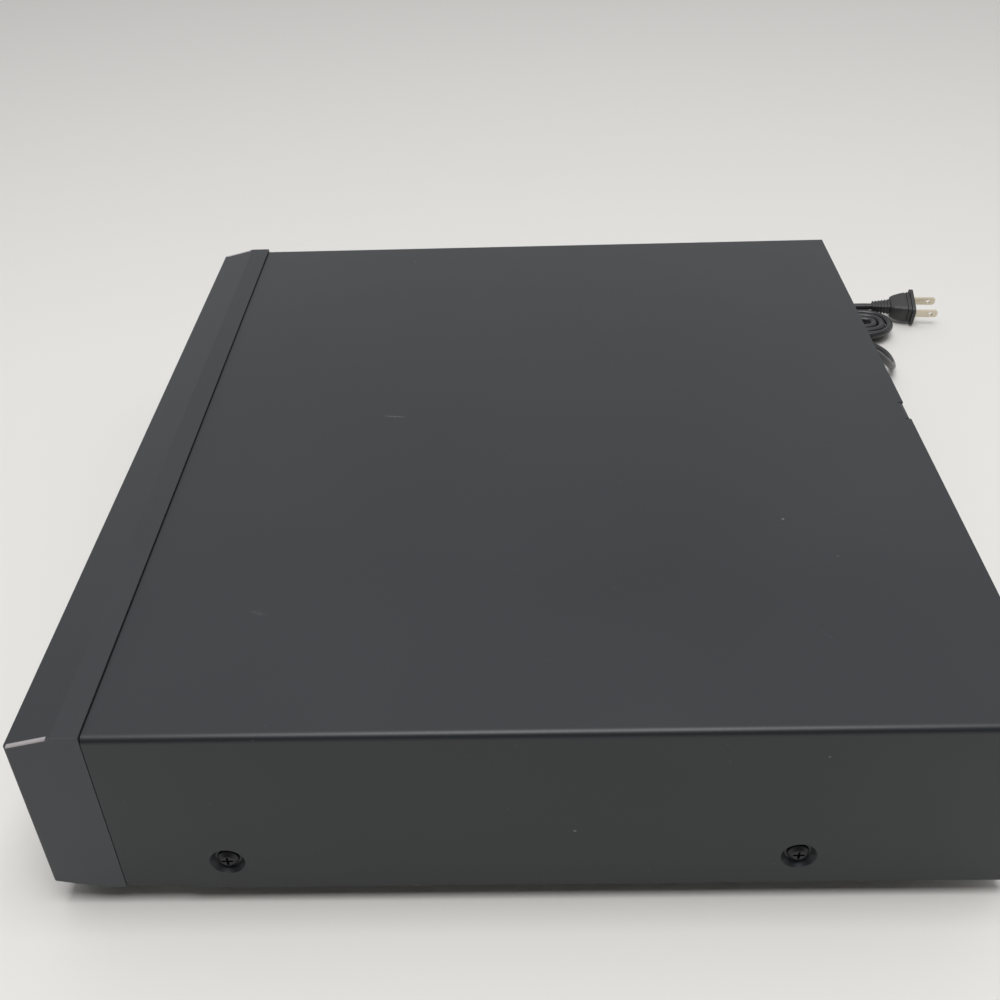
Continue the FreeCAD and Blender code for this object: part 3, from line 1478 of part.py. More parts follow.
outer_strand = fold_radius + (hank_columns - 1) * strand_step
waist_radius = (hank_half_run ** 2 + waist_draw ** 2) / (4 * waist_draw)
entry_turn = hank_entry / waist_radius
entry_shift = waist_radius * (1 - math.cos(entry_turn))
hank_start = hank_point(
    -waist_radius * math.sin(entry_turn), outer_strand - waist_draw + entry_shift, hank_low,
)
start_heading = hank_heading * math.cos(entry_turn) - hank_across * math.sin(entry_turn)
start_across = hank_across * math.cos(entry_turn) + hank_heading * math.sin(entry_turn)
cord_exit = V(bush_x, panel_outer_y + bush_reach + bush_gap, bush_height)
cord_route = [
    cord_exit,
    cord_exit + V(0, 12, -0.6),
    cord_exit + V(-2, 26, -6.5),
    cord_exit + V(-8.5, 37.5, -18.5),
    cord_exit + V(-20.5, 45.5, -29.5),
    cord_exit + V(-35, 49.6, -34.3),
    cord_exit + V(-49.8, 49.2, -34.5),
    cord_exit + V(-61.8, 41.6, -34.5),
    hank_start - start_heading * entry_run,
    hank_start,
]


def filleted_path(points):
    """Straight runs joined by tangent arcs, each as large as its two runs allow."""
    edges = []
    start = points[0]
    for i in range(1, len(points) - 1):
        before = points[i] - points[i - 1]
        after = points[i + 1] - points[i]
        shorter = min(before.Length, after.Length)
        turn = before.getAngle(after)
        reach = 0.45 * shorter
        radius = reach / math.tan(turn / 2)
        before.normalize()
        after.normalize()
        arc_start = points[i] - before * reach
        arc_end = points[i] + after * reach
        inward = (after - before).normalize()
        middle = points[i] + inward * (radius / math.cos(turn / 2) - radius)
        edges.append(Part.LineSegment(start, arc_start).toShape())
        edges.append(Part.Arc(arc_start, middle, arc_end).toShape())
        start = arc_end
    edges.append(Part.LineSegment(start, points[-1]).toShape())
    return Part.Wire(edges)


def power_cord():
    path = filleted_path(cord_route)
    tube = swept(path, cord_section(cord_exit, V(1, 0, 0), V(0, 0.6, 12).normalize()))
    area = 2 * math.sqrt(2) * (cord_diameter / 2) ** 2
    print("cord length", round(path.Length), "volume ratio", round(tube.Volume / (area * path.Length), 4))
    return tube


def cord_section(place, across, upward):
    """The cord's outline, drawn with eight flats."""
    radius = cord_diameter / 2
    corners = []
    for i in range(8):
        angle = math.radians(22.5 + 45 * i)
        corners.append(place + across * (radius * math.cos(angle)) + upward * (radius * math.sin(angle)))
    return Part.makePolygon(corners + [corners[0]])


def swept(path, section):
    shell = Part.BRepOffsetAPI.MakePipeShell(path)
    shell.add(section, False, False)
    shell.build()
    shell.makeSolid()
    return shell.shape()


def arc_from(start, heading, end):
    """The arc that leaves start along heading and ends at end, and its heading there."""
    chord = end - start
    along = V(chord).normalize()
    lean = heading.getAngle(along)
    if lean < 1e-6:
        return Part.LineSegment(start, end), V(heading)
    bulge = (heading - along * heading.dot(along)).normalize()
    middle = (start + end) * 0.5 + bulge * (chord.Length / 2 * math.tan(lean / 2))
    leaving = along * (2 * heading.dot(along)) - heading
    return Part.Arc(start, middle, end), leaving


def shift_run(start, end, heading):
    """Two equal arcs that move a strand sideways between parallel ends."""
    middle = (start + end) * 0.5
    first, leaving = arc_from(start, heading, middle)
    second, leaving = arc_from(middle, leaving, end)
    return [first, second]


def hank_strands():
    """The order of the runs as (side, distance from the middle line, height)."""
    low, high = hank_low, hank_low + layer_step
    strands = []
    for column in range(hank_columns):
        outer = outer_strand - column * strand_step
        strands += [(1, outer, low, low), (-1, outer - strand_step / 2, low, low)]
    strands[-1] = (-1, strands[-1][1], low, high)
    for column in reversed(range(hank_columns)):
        outer = outer_strand - column * strand_step
        strands += [(1, outer, high, high), (-1, outer + strand_step / 2, high, high)]
    strands[-1] = (-1, strands[-1][1], high, high + plug_rise)
    return strands


def hank_path():
    """One unbroken line: runs drawn in at the waist, half-turn folds, a climb, and the plug's rise."""
    curves = []
    half = hank_half_run
    for number, (side, offset, z0, z1) in enumerate(hank_strands()):
        way = hank_heading * side
        begin = hank_point(-side * half, side * offset, z0)
        waist = hank_point(0, side * (offset - waist_draw), z0)
        finish = hank_point(side * half, side * offset, z1)
        if number == 0:
            curves.append(arc_from(hank_start, start_heading, waist)[0])
            curves += shift_run(waist, finish, way)
        else:
            fold_middle = (last + begin) * 0.5 + last_way * ((last - begin).Length / 2)
            curves.append(Part.Arc(last, fold_middle, begin))
        if number and z1 - z0 < layer_step:
            curves += shift_run(begin, waist, way) + shift_run(waist, finish, way)
        elif number:
            curves += climbing_run(begin, waist, finish, way)
        last, last_way = finish, way
    tail = hank_point(-half - plug_tail, -offset, z1)
    curves.append(Part.LineSegment(last, tail))
    return curves, tail


def climbing_run(begin, waist, finish, way):
    """A run that rises a layer from its first fold to its last, still drawn in at the waist."""
    low_waist = V(waist.x, waist.y, begin.z)
    high_start = low_waist + way * tie_width
    high_start.z = begin.z
    curves = shift_run(begin, low_waist, way)
    curves.append(Part.LineSegment(low_waist, high_start))
    return curves + shift_run(high_start, finish, way)


def least_gap(curves, diameter):
    """The least gap between stretches of the strand that aren't next to each other."""
    points = []
    travelled = 0.0
    for curve in curves:
        edge = curve.toShape()
        count = max(2, int(edge.Length / 1.5))
        for i, point in enumerate(edge.discretize(count + 1)[:-1]):
            points.append((travelled + edge.Length * i / count, point))
        travelled += edge.Length
    least = 1000.0
    for i, (place, point) in enumerate(points):
        for other_place, other in points[i + 1:]:
            if other_place - place > 4 * diameter:
                least = min(least, point.distanceToPoint(other))
    return least - diameter, travelled


def cord_hank():
    curves, tail = hank_path()
    gap, length = least_gap(curves, cord_diameter)
    print("hank length", round(length), "least gap to itself", round(gap, 2))
    path = Part.Wire([curve.toShape() for curve in curves])
    return swept(path, cord_section(hank_start, start_across, Z))


def hank_box(x_gap, low, high, half_length):
    """A block across the hank's waist, in the hank's own directions."""
    right = outer_strand - waist_draw + cord_diameter / 2 + x_gap
    left = -(outer_strand + strand_step / 2 - waist_draw + cord_diameter / 2 + x_gap)
    corners = [(-half_length, left), (-half_length, right), (half_length, right), (half_length, left)]
    outline = [hank_point(along, across, low) for along, across in corners]
    solid = face_of(outline).extrude(V(0, 0, high - low))
    edges = [e for e in solid.Edges if abs(e.tangentAt(e.FirstParameter).dot(hank_heading)) > 0.9]
    return solid.makeFillet(1.5 + x_gap, edges)


def cord_tie():
    top = hank_low + layer_step + cord_diameter / 2 + tie_gap
    band = hank_box(tie_gap + tie_thickness, 0, top + tie_thickness, tie_width / 2)
    return band.cut(hank_box(tie_gap, tie_thickness, top, tie_width))


def plug_frame():
    """Where the plug starts, its heading, and the ways across and up, rolled about its axis."""
    roll = math.radians(plug_roll)
    across = hank_across * math.cos(roll) - Z * math.sin(roll)
    upward = hank_across * math.sin(roll) + Z * math.cos(roll)
    return hank_path()[1], hank_heading * -1, across, upward


def plug_section(along, half_wide, half_high):
    """A rectangle with cut corners across the plug, as a closed wire."""
    tail, heading, across, upward = plug_frame()
    centre = tail + heading * along
    corner = min(half_wide, half_high) * plug_corner
    outline = []
    for side_x, side_z in ((1, 1), (-1, 1), (-1, -1), (1, -1)):
        upright = (side_x * half_wide, side_z * (half_high - corner))
        level = (side_x * (half_wide - corner), side_z * half_high)
        outline += [upright, level] if side_x == side_z else [level, upright]
    points = [centre + across * x + upward * z for x, z in outline]
    return Part.makePolygon(points + [points[0]])


def power_plug():
    """The moulded plug: tapered strain relief, swelling body and a flat flange."""
    body_start = plug_relief
    flange_start = body_start + plug_body
    high = plug_half_height - 0.25
    relief = Part.makeLoft([plug_section(0, 3.1, 3.1), plug_section(body_start, 4.6, 4.2)], True, True)
    body = Part.makeLoft([
        plug_section(body_start, plug_half_width * 0.52, high * 0.62),
        plug_section(body_start + plug_body * 0.6, plug_half_width * 0.78, high * 0.8),
        plug_section(flange_start, plug_half_width * 0.82, high * 0.84),
    ], True, True)
    flange = Part.makeLoft([
        plug_section(flange_start, plug_half_width, high),
        plug_section(flange_start + plug_flange, plug_half_width, high),
    ], True, True)
    return join([relief, body, flange])


def plug_blades():
    """Two flat blades, each with its round hole."""
    tail, heading, across, upward = plug_frame()
    face = plug_relief + plug_body + plug_flange
    blades = []
    for side in (-1, 1):
        centre = tail + across * (side * blade_spread / 2)
        half = across * (blade_thickness / 2)
        z = upward * (blade_width / 2)
        near, far = centre + heading * face, centre + heading * (face + blade_length)
        bevel = far - heading * 1.5
        outline = [near - z, bevel - z, far - z * 0.6, far + z * 0.6, bevel + z, near + z]
        blade = face_of([point - half for point in outline]).extrude(half * 2)
        hole_at = centre + heading * (face + blade_length - 5) - half * 2
        hole = Part.makeCylinder(1.6, blade_thickness * 2, hole_at, across)
        blades.append(blade.cut(hole))
    return Part.makeCompound(blades)


os.makedirs("parts", exist_ok=True)
export(top_cover(), "top_cover")
export(chassis_pan(), "chassis_pan")
export(rear_panel(), "rear_panel")
export(front_bezel(), "front_bezel")
export(bezel_edge_trims(), "bezel_edge_trims")
export(display_window(), "display_window")
export(front_board(), "front_board")
export(display_tube(), "display_tube")
export(tact_switches(), "tact_switches")
for name, (button_x, button_z, button_width) in button_places.items():
    export(button(button_x, button_z, button_width), name)
export(Part.makeCompound([foot(x, y) for x, y in foot_places]), "feet")
export(Part.makeCompound([foot_pad(x, y) for x, y in foot_places]), "foot_pads")
export(Part.makeCompound([foot_screw(x, y) for x, y in foot_places]), "foot_screws")
export(case_screws(), "case_screws")
export(mechanism_deck(), "mechanism_deck")
export(deck_screws(), "deck_screws")
export(clamp_bridge(), "clamp_bridge")
export(clamp_puck(), "clamp_puck")
export(board(1), "main_board")
export(main_board_parts(), "main_board_parts")
export(board(-1), "power_board")
export(power_transformer(), "power_transformer")
export(filter_capacitors(), "filter_capacitors")
export(heat_sink(), "heat_sink")
export(av_jack_block(), "av_jack_block")
export(av_jack_shells(), "av_jack_shells")
export(s_video_socket(), "s_video_socket")
export(optical_socket(), "optical_socket")
export(drawer_tray(), "drawer_tray")
export(drawer_front(), "drawer_front")
export(carousel_table(), "carousel_table")
export(carousel_cap(), "carousel_cap")
export(carousel_motor(), "carousel_motor")
export(carousel_drive_gear(), "carousel_drive_gear")
export(load_motor(), "load_motor")
export(load_motor_pulley(), "load_motor_pulley")
export(load_belt(), "load_belt")
export(load_pulley_gear(), "load_pulley_gear")
export(load_drive_gear(), "load_drive_gear")
export(cam_slider(), "cam_slider")
export(traverse_base(), "traverse_base")
export(spindle_motor(), "spindle_motor")
export(disc_hub(), "disc_hub")
export(guide_shafts(), "guide_shafts")
export(pickup_sled(), "pickup_sled")
export(sled_gear(), "sled_gear")
export(sled_motor(), "sled_motor")
export(cord_bush(), "cord_bush")
export(power_cord(), "power_cord")
export(cord_hank(), "cord_hank")
export(cord_tie(), "cord_tie")
export(power_plug(), "power_plug")
export(plug_blades(), "plug_blades")
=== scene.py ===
import math

import bmesh
import bpy
from mathutils import Matrix, Vector


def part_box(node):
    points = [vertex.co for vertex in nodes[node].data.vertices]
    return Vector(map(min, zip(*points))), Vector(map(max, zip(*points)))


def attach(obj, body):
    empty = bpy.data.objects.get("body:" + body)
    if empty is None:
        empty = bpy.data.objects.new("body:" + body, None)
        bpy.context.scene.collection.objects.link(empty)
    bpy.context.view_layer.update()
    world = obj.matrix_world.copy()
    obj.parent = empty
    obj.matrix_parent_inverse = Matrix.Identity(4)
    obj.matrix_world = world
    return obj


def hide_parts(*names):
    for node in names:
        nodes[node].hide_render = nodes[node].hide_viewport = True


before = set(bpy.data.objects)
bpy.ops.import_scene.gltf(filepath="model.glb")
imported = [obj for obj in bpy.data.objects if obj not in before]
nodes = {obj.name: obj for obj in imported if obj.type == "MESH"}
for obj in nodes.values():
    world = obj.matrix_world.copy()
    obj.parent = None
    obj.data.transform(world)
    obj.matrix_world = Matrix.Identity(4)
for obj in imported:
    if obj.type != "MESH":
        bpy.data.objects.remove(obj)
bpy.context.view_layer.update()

scene = bpy.context.scene


# Camera: fitted to the photograph's edges

cameraView = {
    "place": (0.52198, -0.00078, 0.42632),
    "pitch": 35.918,      # degrees down
    "yaw": 1.7596,
    "roll": -2.0377,
    "lens": 43.48,        # mm on a 36 mm sensor
}


def addCamera(view):
    pitch, yaw, roll = (math.radians(view[k]) for k in ("pitch", "yaw", "roll"))
    look = Vector((-math.cos(pitch) * math.cos(yaw), -math.cos(pitch) * math.sin(yaw), -math.sin(pitch)))
    level = look.cross(Vector((0, 0, 1))).normalized()
    above = level.cross(look)
    right = level * math.cos(roll) + above * math.sin(roll)
    up = -level * math.sin(roll) + above * math.cos(roll)
    data = bpy.data.cameras.new("photoCamera")
    data.lens = view["lens"]
    data.sensor_width = 36
    data.clip_start = 0.01
    camera = bpy.data.objects.new("photoCamera", data)
    turn = Matrix((right, up, -look)).transposed().to_4x4()
    camera.matrix_world = Matrix.Translation(view["place"]) @ turn
    scene.collection.objects.link(camera)
    scene.camera = camera
    return camera


addCamera(cameraView)
print("camera placed")


# Shader nodes written as sums: a Wire is one output socket

class Wire:
    def __init__(self, finish, socket):
        self.finish = finish
        self.socket = socket

    def combine(self, operation, first, second=None, clamp=False):
        sockets = {0: first} if second is None else {0: first, 1: second}
        return self.finish.node("ShaderNodeMath", {"operation": operation, "use_clamp": clamp}, sockets)

    def __add__(self, other):
        return self.combine("ADD", self, other)

    def __sub__(self, other):
        return self.combine("SUBTRACT", self, other)

    def __rsub__(self, other):
        return self.combine("SUBTRACT", other, self)

    def __mul__(self, other):
        return self.combine("MULTIPLY", self, other)

    def __truediv__(self, other):
        return self.combine("DIVIDE", self, other)

    def __gt__(self, other):
        return self.combine("GREATER_THAN", self, other)

    def __lt__(self, other):
        return self.combine("LESS_THAN", self, other)

    __radd__ = __add__
    __rmul__ = __mul__

    def __rtruediv__(self, other):
        return self.combine("DIVIDE", other, self)

    def size(self):
        return self.combine("ABSOLUTE", self)

    def fraction(self):
        return self.combine("FRACT", self)

    def wave(self):
        return self.combine("SINE", self)

    def power(self, exponent):
        return self.combine("POWER", self, exponent)

    def largest(self, other):
        return self.combine("MAXIMUM", self, other)

    def least(self, other):
        return self.combine("MINIMUM", self, other)

    def within(self, low, high):          # 0 below low, 1 above high
        return self.finish.node("ShaderNodeMapRange", {"clamp": True}, {0: self, 1: low, 2: high})


class Network:
    def __init__(self, tree):
        self.tree = tree

    def node(self, kind, settings=None, sockets=None, out=0):
        made = self.tree.nodes.new(kind)
        for key, value in (settings or {}).items():
            if key == "stops":
                self.setStops(made.color_ramp, value)
            else:
                setattr(made, key, value)
        for key, value in (sockets or {}).items():
            if isinstance(value, Wire):
                self.tree.links.new(value.socket, made.inputs[key])
            else:
                made.inputs[key].default_value = value
        return Wire(self, made.outputs[out])

    def setStops(self, ramp, stops):
        while len(ramp.elements) < len(stops):
            ramp.elements.new(1.0)
        for element, (at, tone) in zip(ramp.elements, stops):
            element.position = at
            element.color = (*tone, 1.0) if isinstance(tone, tuple) else (tone, tone, tone, 1.0)

    def axes(self, at):
        parts = self.node("ShaderNodeSeparateXYZ", {}, {0: at})
        return [Wire(self, parts.socket.node.outputs[i]) for i in range(3)]


class Finish(Network):
    def __init__(self, name, **fixed):
        self.material = bpy.data.materials.new(name)
        self.material.use_nodes = True
        super().__init__(self.material.node_tree)
        self.shader = self.tree.nodes["Principled BSDF"]
        for socket, value in fixed.items():
            self.shader.inputs[socket.replace("_", " ")].default_value = value
        self.place = self.node("ShaderNodeTexCoord", out="Object")

    def stretched(self, scale=(1, 1, 1), turn=(0, 0, 0)):
        return self.node("ShaderNodeMapping", {}, {"Vector": self.place, "Scale": scale, "Rotation": turn})

    def noise(self, scale, detail=3.0, rough=0.5, at=None):
        return self.node("ShaderNodeTexNoise", {}, {
            "Vector": at or self.place, "Scale": scale, "Detail": detail, "Roughness": rough})

    def cells(self, scale, at=None, out="Distance"):
        return self.node("ShaderNodeTexVoronoi", {}, {"Vector": at or self.place, "Scale": scale}, out)

    def lines(self, scale, sockets, at, offset=0.5):          # a brick pattern's joints, 1 on the joint
        return self.node("ShaderNodeTexBrick", {"offset": offset}, {
            "Vector": at, "Scale": scale, "Color1": (0, 0, 0, 1), "Color2": (0, 0, 0, 1), "Mortar": (1, 1, 1, 1), **sockets})

    def tint(self, mask, dark, light):
        tones = [tone if isinstance(tone, Wire) else (*tone, 1.0) for tone in (dark, light)]
        return self.node("ShaderNodeMix", {"data_type": "RGBA", "clamp_factor": True}, {0: mask, 6: tones[0], 7: tones[1]}, 2)

    def feed(self, socket, value):
        self.tree.links.new(value.socket, self.shader.inputs[socket])

    def relief(self, height, depth, strength=1.0):
        self.feed("Normal", self.node("ShaderNodeBump", {}, {"Strength": strength, "Distance": depth, "Height": height}))


def dress(name, finish):
    data = nodes[name].data
    data.materials.clear()
    data.materials.append(finish.material)


# Power cord: the CAD route's points, then the hank's turns

cordShape = {
    "exit": (-0.180, 0.20235, 0.038),
    "diameter": 0.0048,
    "length": 1.46,
    "hankPlace": (-0.2683, 0.2062),
    "hankTurn": 4.0,
    "halfRun": 0.038,
    "columns": 3,
    "innerFold": 0.0075,
    "strandStep": 0.0055,
    "layerStep": 0.00525,
    "lowest": 0.0035,
    "waistDraw": 0.0034,
    "entry": 0.013,
    "entryRun": 0.0145,
    "tail": 0.046,
    "plugRise": 0.0022,
    "plugRoll": 18.0,
}
turned = math.radians(cordShape["hankTurn"])
rolled = math.radians(cordShape["plugRoll"])
hankHeading = Vector((-math.sin(turned), -math.cos(turned), 0))
hankAcross = Vector((math.cos(turned), -math.sin(turned), 0))
up = Vector((0, 0, 1))
plugAcross = hankAcross * math.cos(rolled) - up * math.sin(rolled)
plugUp = hankAcross * math.sin(rolled) + up * math.cos(rolled)


def hankPoint(along, across, height):
    x, y = cordShape["hankPlace"]
    return Vector((x, y, height)) + hankHeading * along + hankAcross * across


def hankStrands(shape):
    low = shape["lowest"]
    high = low + shape["layerStep"]
    step = shape["strandStep"]
    outer = shape["innerFold"] + (shape["columns"] - 1) * step
    strands = []
    for column in range(shape["columns"]):
        reach = outer - column * step
        strands += [(1, reach, low, low), (-1, reach - step / 2, low, low)]
    strands[-1] = (-1, strands[-1][1], low, high)
    for column in reversed(range(shape["columns"])):
        reach = outer - column * step
        strands += [(1, reach, high, high), (-1, reach + step / 2, high, high)]
    strands[-1] = (-1, strands[-1][1], high, high + shape["plugRise"])
    return strands


def hankPoints(shape):
    half, draw = shape["halfRun"], shape["waistDraw"]
    quarter = half / 4
    points = []
    strands = hankStrands(shape)
    for number, (side, reach, z0, z1) in enumerate(strands):
        if number:
            points.append(hankPoint(-side * quarter * 3, side * reach, z0))
            points.append(hankPoint(-side * quarter, side * (reach - draw), z0))
        climbs = z1 - z0 >= shape["layerStep"]
        level = z0 if climbs else (z0 * 3 + z1) / 4
        points.append(hankPoint(side * quarter * (1.3 if climbs else 1), side * (reach - draw), level))
        points.append(hankPoint(side * quarter * 3, side * reach, z1))
        if number + 1 < len(strands):                      # the fold: corners of a half octagon
            nextReach = strands[number + 1][1]
            radius = (reach + nextReach) / 2
            middle = side * (reach - nextReach) / 2
            for corner in range(4):
                angle = math.radians(22.5 + 45 * corner)
                grown = radius / math.cos(math.radians(22.5))
                points.append(hankPoint(
                    side * (half + grown * math.sin(angle)), middle + side * grown * math.cos(angle), z1))
    points.append(hankPoint(-shape["tail"], -reach, z1))
    return points


def cordPoints(shape):
    leave = Vector(shape["exit"])
    half, draw = shape["halfRun"], shape["waistDraw"]
    outer = shape["innerFold"] + (shape["columns"] - 1) * shape["strandStep"]
    bend = (half ** 2 + draw ** 2) / (4 * draw)
    lean = shape["entry"] / bend
    entry = hankPoint(-bend * math.sin(lean), outer - draw + bend * (1 - math.cos(lean)), shape["lowest"])
    heading = hankHeading * math.cos(lean) - hankAcross * math.sin(lean)
    route = [
        leave,
        leave + Vector((0, 0.012, -0.0006)),
        leave + Vector((-0.002, 0.026, -0.0065)),
        leave + Vector((-0.0085, 0.0375, -0.0185)),
        leave + Vector((-0.0205, 0.0455, -0.0295)),
        leave + Vector((-0.035, 0.0496, -0.0343)),
        leave + Vector((-0.0498, 0.0492, -0.0345)),
        leave + Vector((-0.0618, 0.0416, -0.0345)),
        entry - heading * shape["entryRun"],
        entry,
    ]
    return route + hankPoints(shape)


def addCord(shape):
    points = cordPoints(shape)
    curve = bpy.data.curves.new("mainsCord", "CURVE")
    curve.dimensions = "3D"
    curve.bevel_depth = 1.0               # times each point's radius, which the curve's box goes by
    curve.bevel_resolution = 5
    curve.resolution_u = 6
    curve.use_fill_caps = True
    spline = curve.splines.new("NURBS")
    spline.points.add(len(points) - 1)
    for point, at in zip(spline.points, points):
        point.co = (*at, 1.0)
        point.radius = shape["diameter"] / 2
    spline.order_u = 3
    spline.use_endpoint_u = True
    cord = bpy.data.objects.new("mainsCord", curve)
    scene.collection.objects.link(cord)
    return cord


mainsCord = addCord(cordShape)
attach(mainsCord, "case")
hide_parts("power_cord", "cord_hank")
print("cord laid")


# Studio: a pale floor, one broad soft lamp overhead and even surroundings

studio = {
    "floorReach": 4.0,
    "floorTone": (0.80, 0.785, 0.755),
    "lampSize": 1.3,
    "lampPlace": (0.50, 0.05, 2.2),
    "lampPower": 37.0,
    "roomTone": (0.98, 0.985, 1.0),
    "wall": 1.00,             # brightness near the horizon
    "middle": 0.43,           # at 30 degrees up
    "above": 0.90,            # overhead
    "behind": 0.12,           # share that is left behind the camera
    "beside": 0.45,           # share that is left on the front's side
}


def addFloor(look):
    bm = bmesh.new()
    bmesh.ops.create_grid(bm, x_segments=8, y_segments=8, size=look["floorReach"])
    data = bpy.data.meshes.new("paleFloor")
    bm.to_mesh(data)
    bm.free()
    floor = bpy.data.objects.new("paleFloor", data)
    scene.collection.objects.link(floor)
    paper = Finish("paleFloor", Roughness=0.75)
    wash = paper.noise(1.3, 2)
    tone = look["floorTone"]
    paper.feed("Base Color", paper.tint(wash, tuple(c * 0.97 for c in tone), tone))
    data.materials.append(paper.material)


def addLamp(look):
    data = bpy.data.lights.new("softLamp", "AREA")
    data.shape = "SQUARE"
    data.size = look["lampSize"]
    data.energy = look["lampPower"]
    lamp = bpy.data.objects.new("softLamp", data)
    lamp.location = look["lampPlace"]
    scene.collection.objects.link(lamp)


def addRoom(look):
    room = bpy.data.worlds.new("paleRoom")
    room.use_nodes = True
    scene.world = room
    backdrop = room.node_tree.nodes["Background"]
    backdrop.inputs["Color"].default_value = (*look["roomTone"], 1.0)
    around = Network(room.node_tree)
    x, y, z = around.axes(around.node("ShaderNodeTexCoord", out="Generated"))
    low = z.within(0.45, 0.20) * (look["wall"] - look["middle"])
    high = z.within(0.55, 0.90) * (look["above"] - look["middle"])
    rear = 1 - x.within(-0.1, 0.4) * (1 - look["behind"])
    side = 1 - y.within(-0.50, -0.80) * (1 - look["beside"])
    strength = (low + high + look["middle"]) * rear * side
    around.tree.links.new(strength.socket, backdrop.inputs["Strength"])


addFloor(studio)
addLamp(studio)
addRoom(studio)
scene.view_settings.view_transform = "Standard"
print("studio lit")


# Shared kinds of finish; each piece brings its own settings

def mouldedPlastic(name, look):
    finish = Finish(name)
    cloud = finish.noise(look.get("cloud", 14), 4)
    grain = finish.noise(look.get("grain", 1400), 2, 0.6)
    finish.feed("Base Color", finish.tint(cloud.within(0.3, 0.7), look["dark"], look["light"]))
    finish.feed("Roughness", grain * look.get("spread", 0.12) + (cloud * 0.08 + look["rough"]))
    finish.relief(grain, look.get("depth", 0.00004), look.get("strength", 0.5))
    return finish


def zincSheet(name, look):
    finish = Finish(name, Metallic=1.0)
    spangle = finish.cells(look["spangle"], out="Color")
    smear = finish.noise(22, 4)
    sheet = finish.tint(spangle * 0.5 + smear * 0.5, look["dark"], look["light"])
    if "shadeFrom" in look:
        x, y, z = finish.axes(finish.place)
        # painted shade: the flanges' outer faces, under the cover, darkened where the cover's notch shades them
        sheet = finish.tint(x.size() > look["shadeFrom"], sheet, look["flangeShade"])
    finish.feed("Base Color", sheet)
    finish.feed("Roughness", spangle * 0.12 + smear * 0.14 + look["rough"])
    finish.relief(finish.noise(700, 2), 0.00002, 0.3)
    return finish


def turnedMetal(name, look):
    finish = Finish(name, Metallic=1.0)
    lines = finish.noise(look["lines"], 2, 0.6, finish.stretched(look["stretch"]))
    tarnish = finish.noise(60, 3)
    finish.feed("Base Color", finish.tint(tarnish, look["dark"], look["light"]))
    finish.feed("Roughness", lines * 0.16 + look["rough"])
    finish.relief(lines, 0.000015, 0.4)
    return finish


def dressAll(names, finish):
    for name in names:
        dress(name, finish)


# Cover, rear panel and their screws: baked satin paint on steel

coverLook = {
    "dark": (0.0098, 0.0128, 0.0162),
    "light": (0.0150, 0.0182, 0.0222),
    "rough": 0.40,
    "marksAndSheenTone": (0.245, 0.24, 0.235),
    "topSheen": (0.028, 0.020),            # painted sheen that lightens the top only: least share, and what the cloud adds
    "streaks": [((-0.0069, -0.0743), (-0.0056, -0.0649), 0.00055, 0.85),
                ((0.1441, -0.1178), (0.1468, -0.1111), 0.0020, 0.22),
                ((0.1609, 0.1140), (0.1669, 0.1187), 0.0005, 0.20),
                ((0.1560, 0.1060), (0.1590, 0.1100), 0.0004, 0.14)],
    "specks": [((0.0870, 0.1125), 0.00065, 0.75), ((0.1141, 0.1312), 0.0006, 0.30),
               ((-0.1925, -0.0717), 0.0007, 0.40), ((0.0310, -0.0100), 0.0004, 0.25),
               ((0.1330, 0.0340), 0.0004, 0.22), ((-0.0480, 0.1420), 0.0005, 0.25)],
    "sideSpecks": [((0.0145, 0.0432), 0.0006, 0.6), ((0.1084, 0.0838), 0.0005, 0.4)],
}


def streakMask(finish, x, y, start, end, width):
    run = (end[0] - start[0], end[1] - start[1])
    length = math.hypot(*run)
    along = ((x - start[0]) * run[0] + (y - start[1]) * run[1]) * (1 / length)
    off = ((x - start[0]) * run[1] - (y - start[1]) * run[0]) * (1 / length)
    beyond = (along - length / 2).size() - length / 2
    return (off.size() * (1 / width)).within(1.0, 0.3) * (beyond * (1 / width)).within(1.0, -1.0)


def speckMask(finish, x, y, place, radius):
    dx, dy = x - place[0], y - place[1]
    return (dx * dx + dy * dy) < radius * radius


def satinSteel(name, look, marks):
    finish = Finish(name)
    x, y, z = finish.axes(finish.place)
    cloud = finish.noise(5.0, 3).within(0.25, 0.75)
    grain = finish.noise(1500, 2, 0.6)
    paint = finish.tint(cloud, look["dark"], look["light"])
    dustAndSheen = (finish.cells(150) < 0.05) * (finish.noise(38, 1) > 0.60) * 0.22
    if marks:
        onTop = z.within(0.0968, 0.0984)
        onSide = x > 0.2144
        least, cloudy = look["topSheen"]
        # the top: real dust specks, with a painted sheen over the whole top
        top = dustAndSheen.largest(cloud * cloudy + least)
        for start, end, width, depth in look["streaks"]:
            worn = finish.noise(900, 2).within(0.32, 0.60)
            top = top.largest(streakMask(finish, x, y, start, end, width) * worn * depth)
        for place, radius, depth in look["specks"]:
            top = top.largest(speckMask(finish, x, y, place, radius) * depth)
        side = dustAndSheen
        for place, radius, depth in look["sideSpecks"]:
            side = side.largest(speckMask(finish, y, z, place, radius) * depth)
        dustAndSheen = (top * onTop).largest(side * onSide)
    # dust, streaks, specks and the top's painted sheen, all mixed toward one pale tone
    finish.feed("Base Color", finish.tint(dustAndSheen, paint, look["marksAndSheenTone"]))
    finish.feed("Roughness", finish.noise(11, 3) * 0.10 + grain * 0.08 + (look["rough"] - 0.06))
    finish.relief(grain, 0.00003, 0.45)
    return finish


dress("top_cover", satinSteel("coverPaint", coverLook, True))
dress("rear_panel", satinSteel("panelPaint", coverLook, False))

screwLook = {"dark": (0.030, 0.030, 0.032), "light": (0.060, 0.060, 0.063), "rough": 0.33, "lines": 900, "stretch": (1, 1, 1)}
dress("case_screws", turnedMetal("blackScrew", screwLook))
print("cover dressed")


# Pan, bridge and inner screws: zinc-plated steel

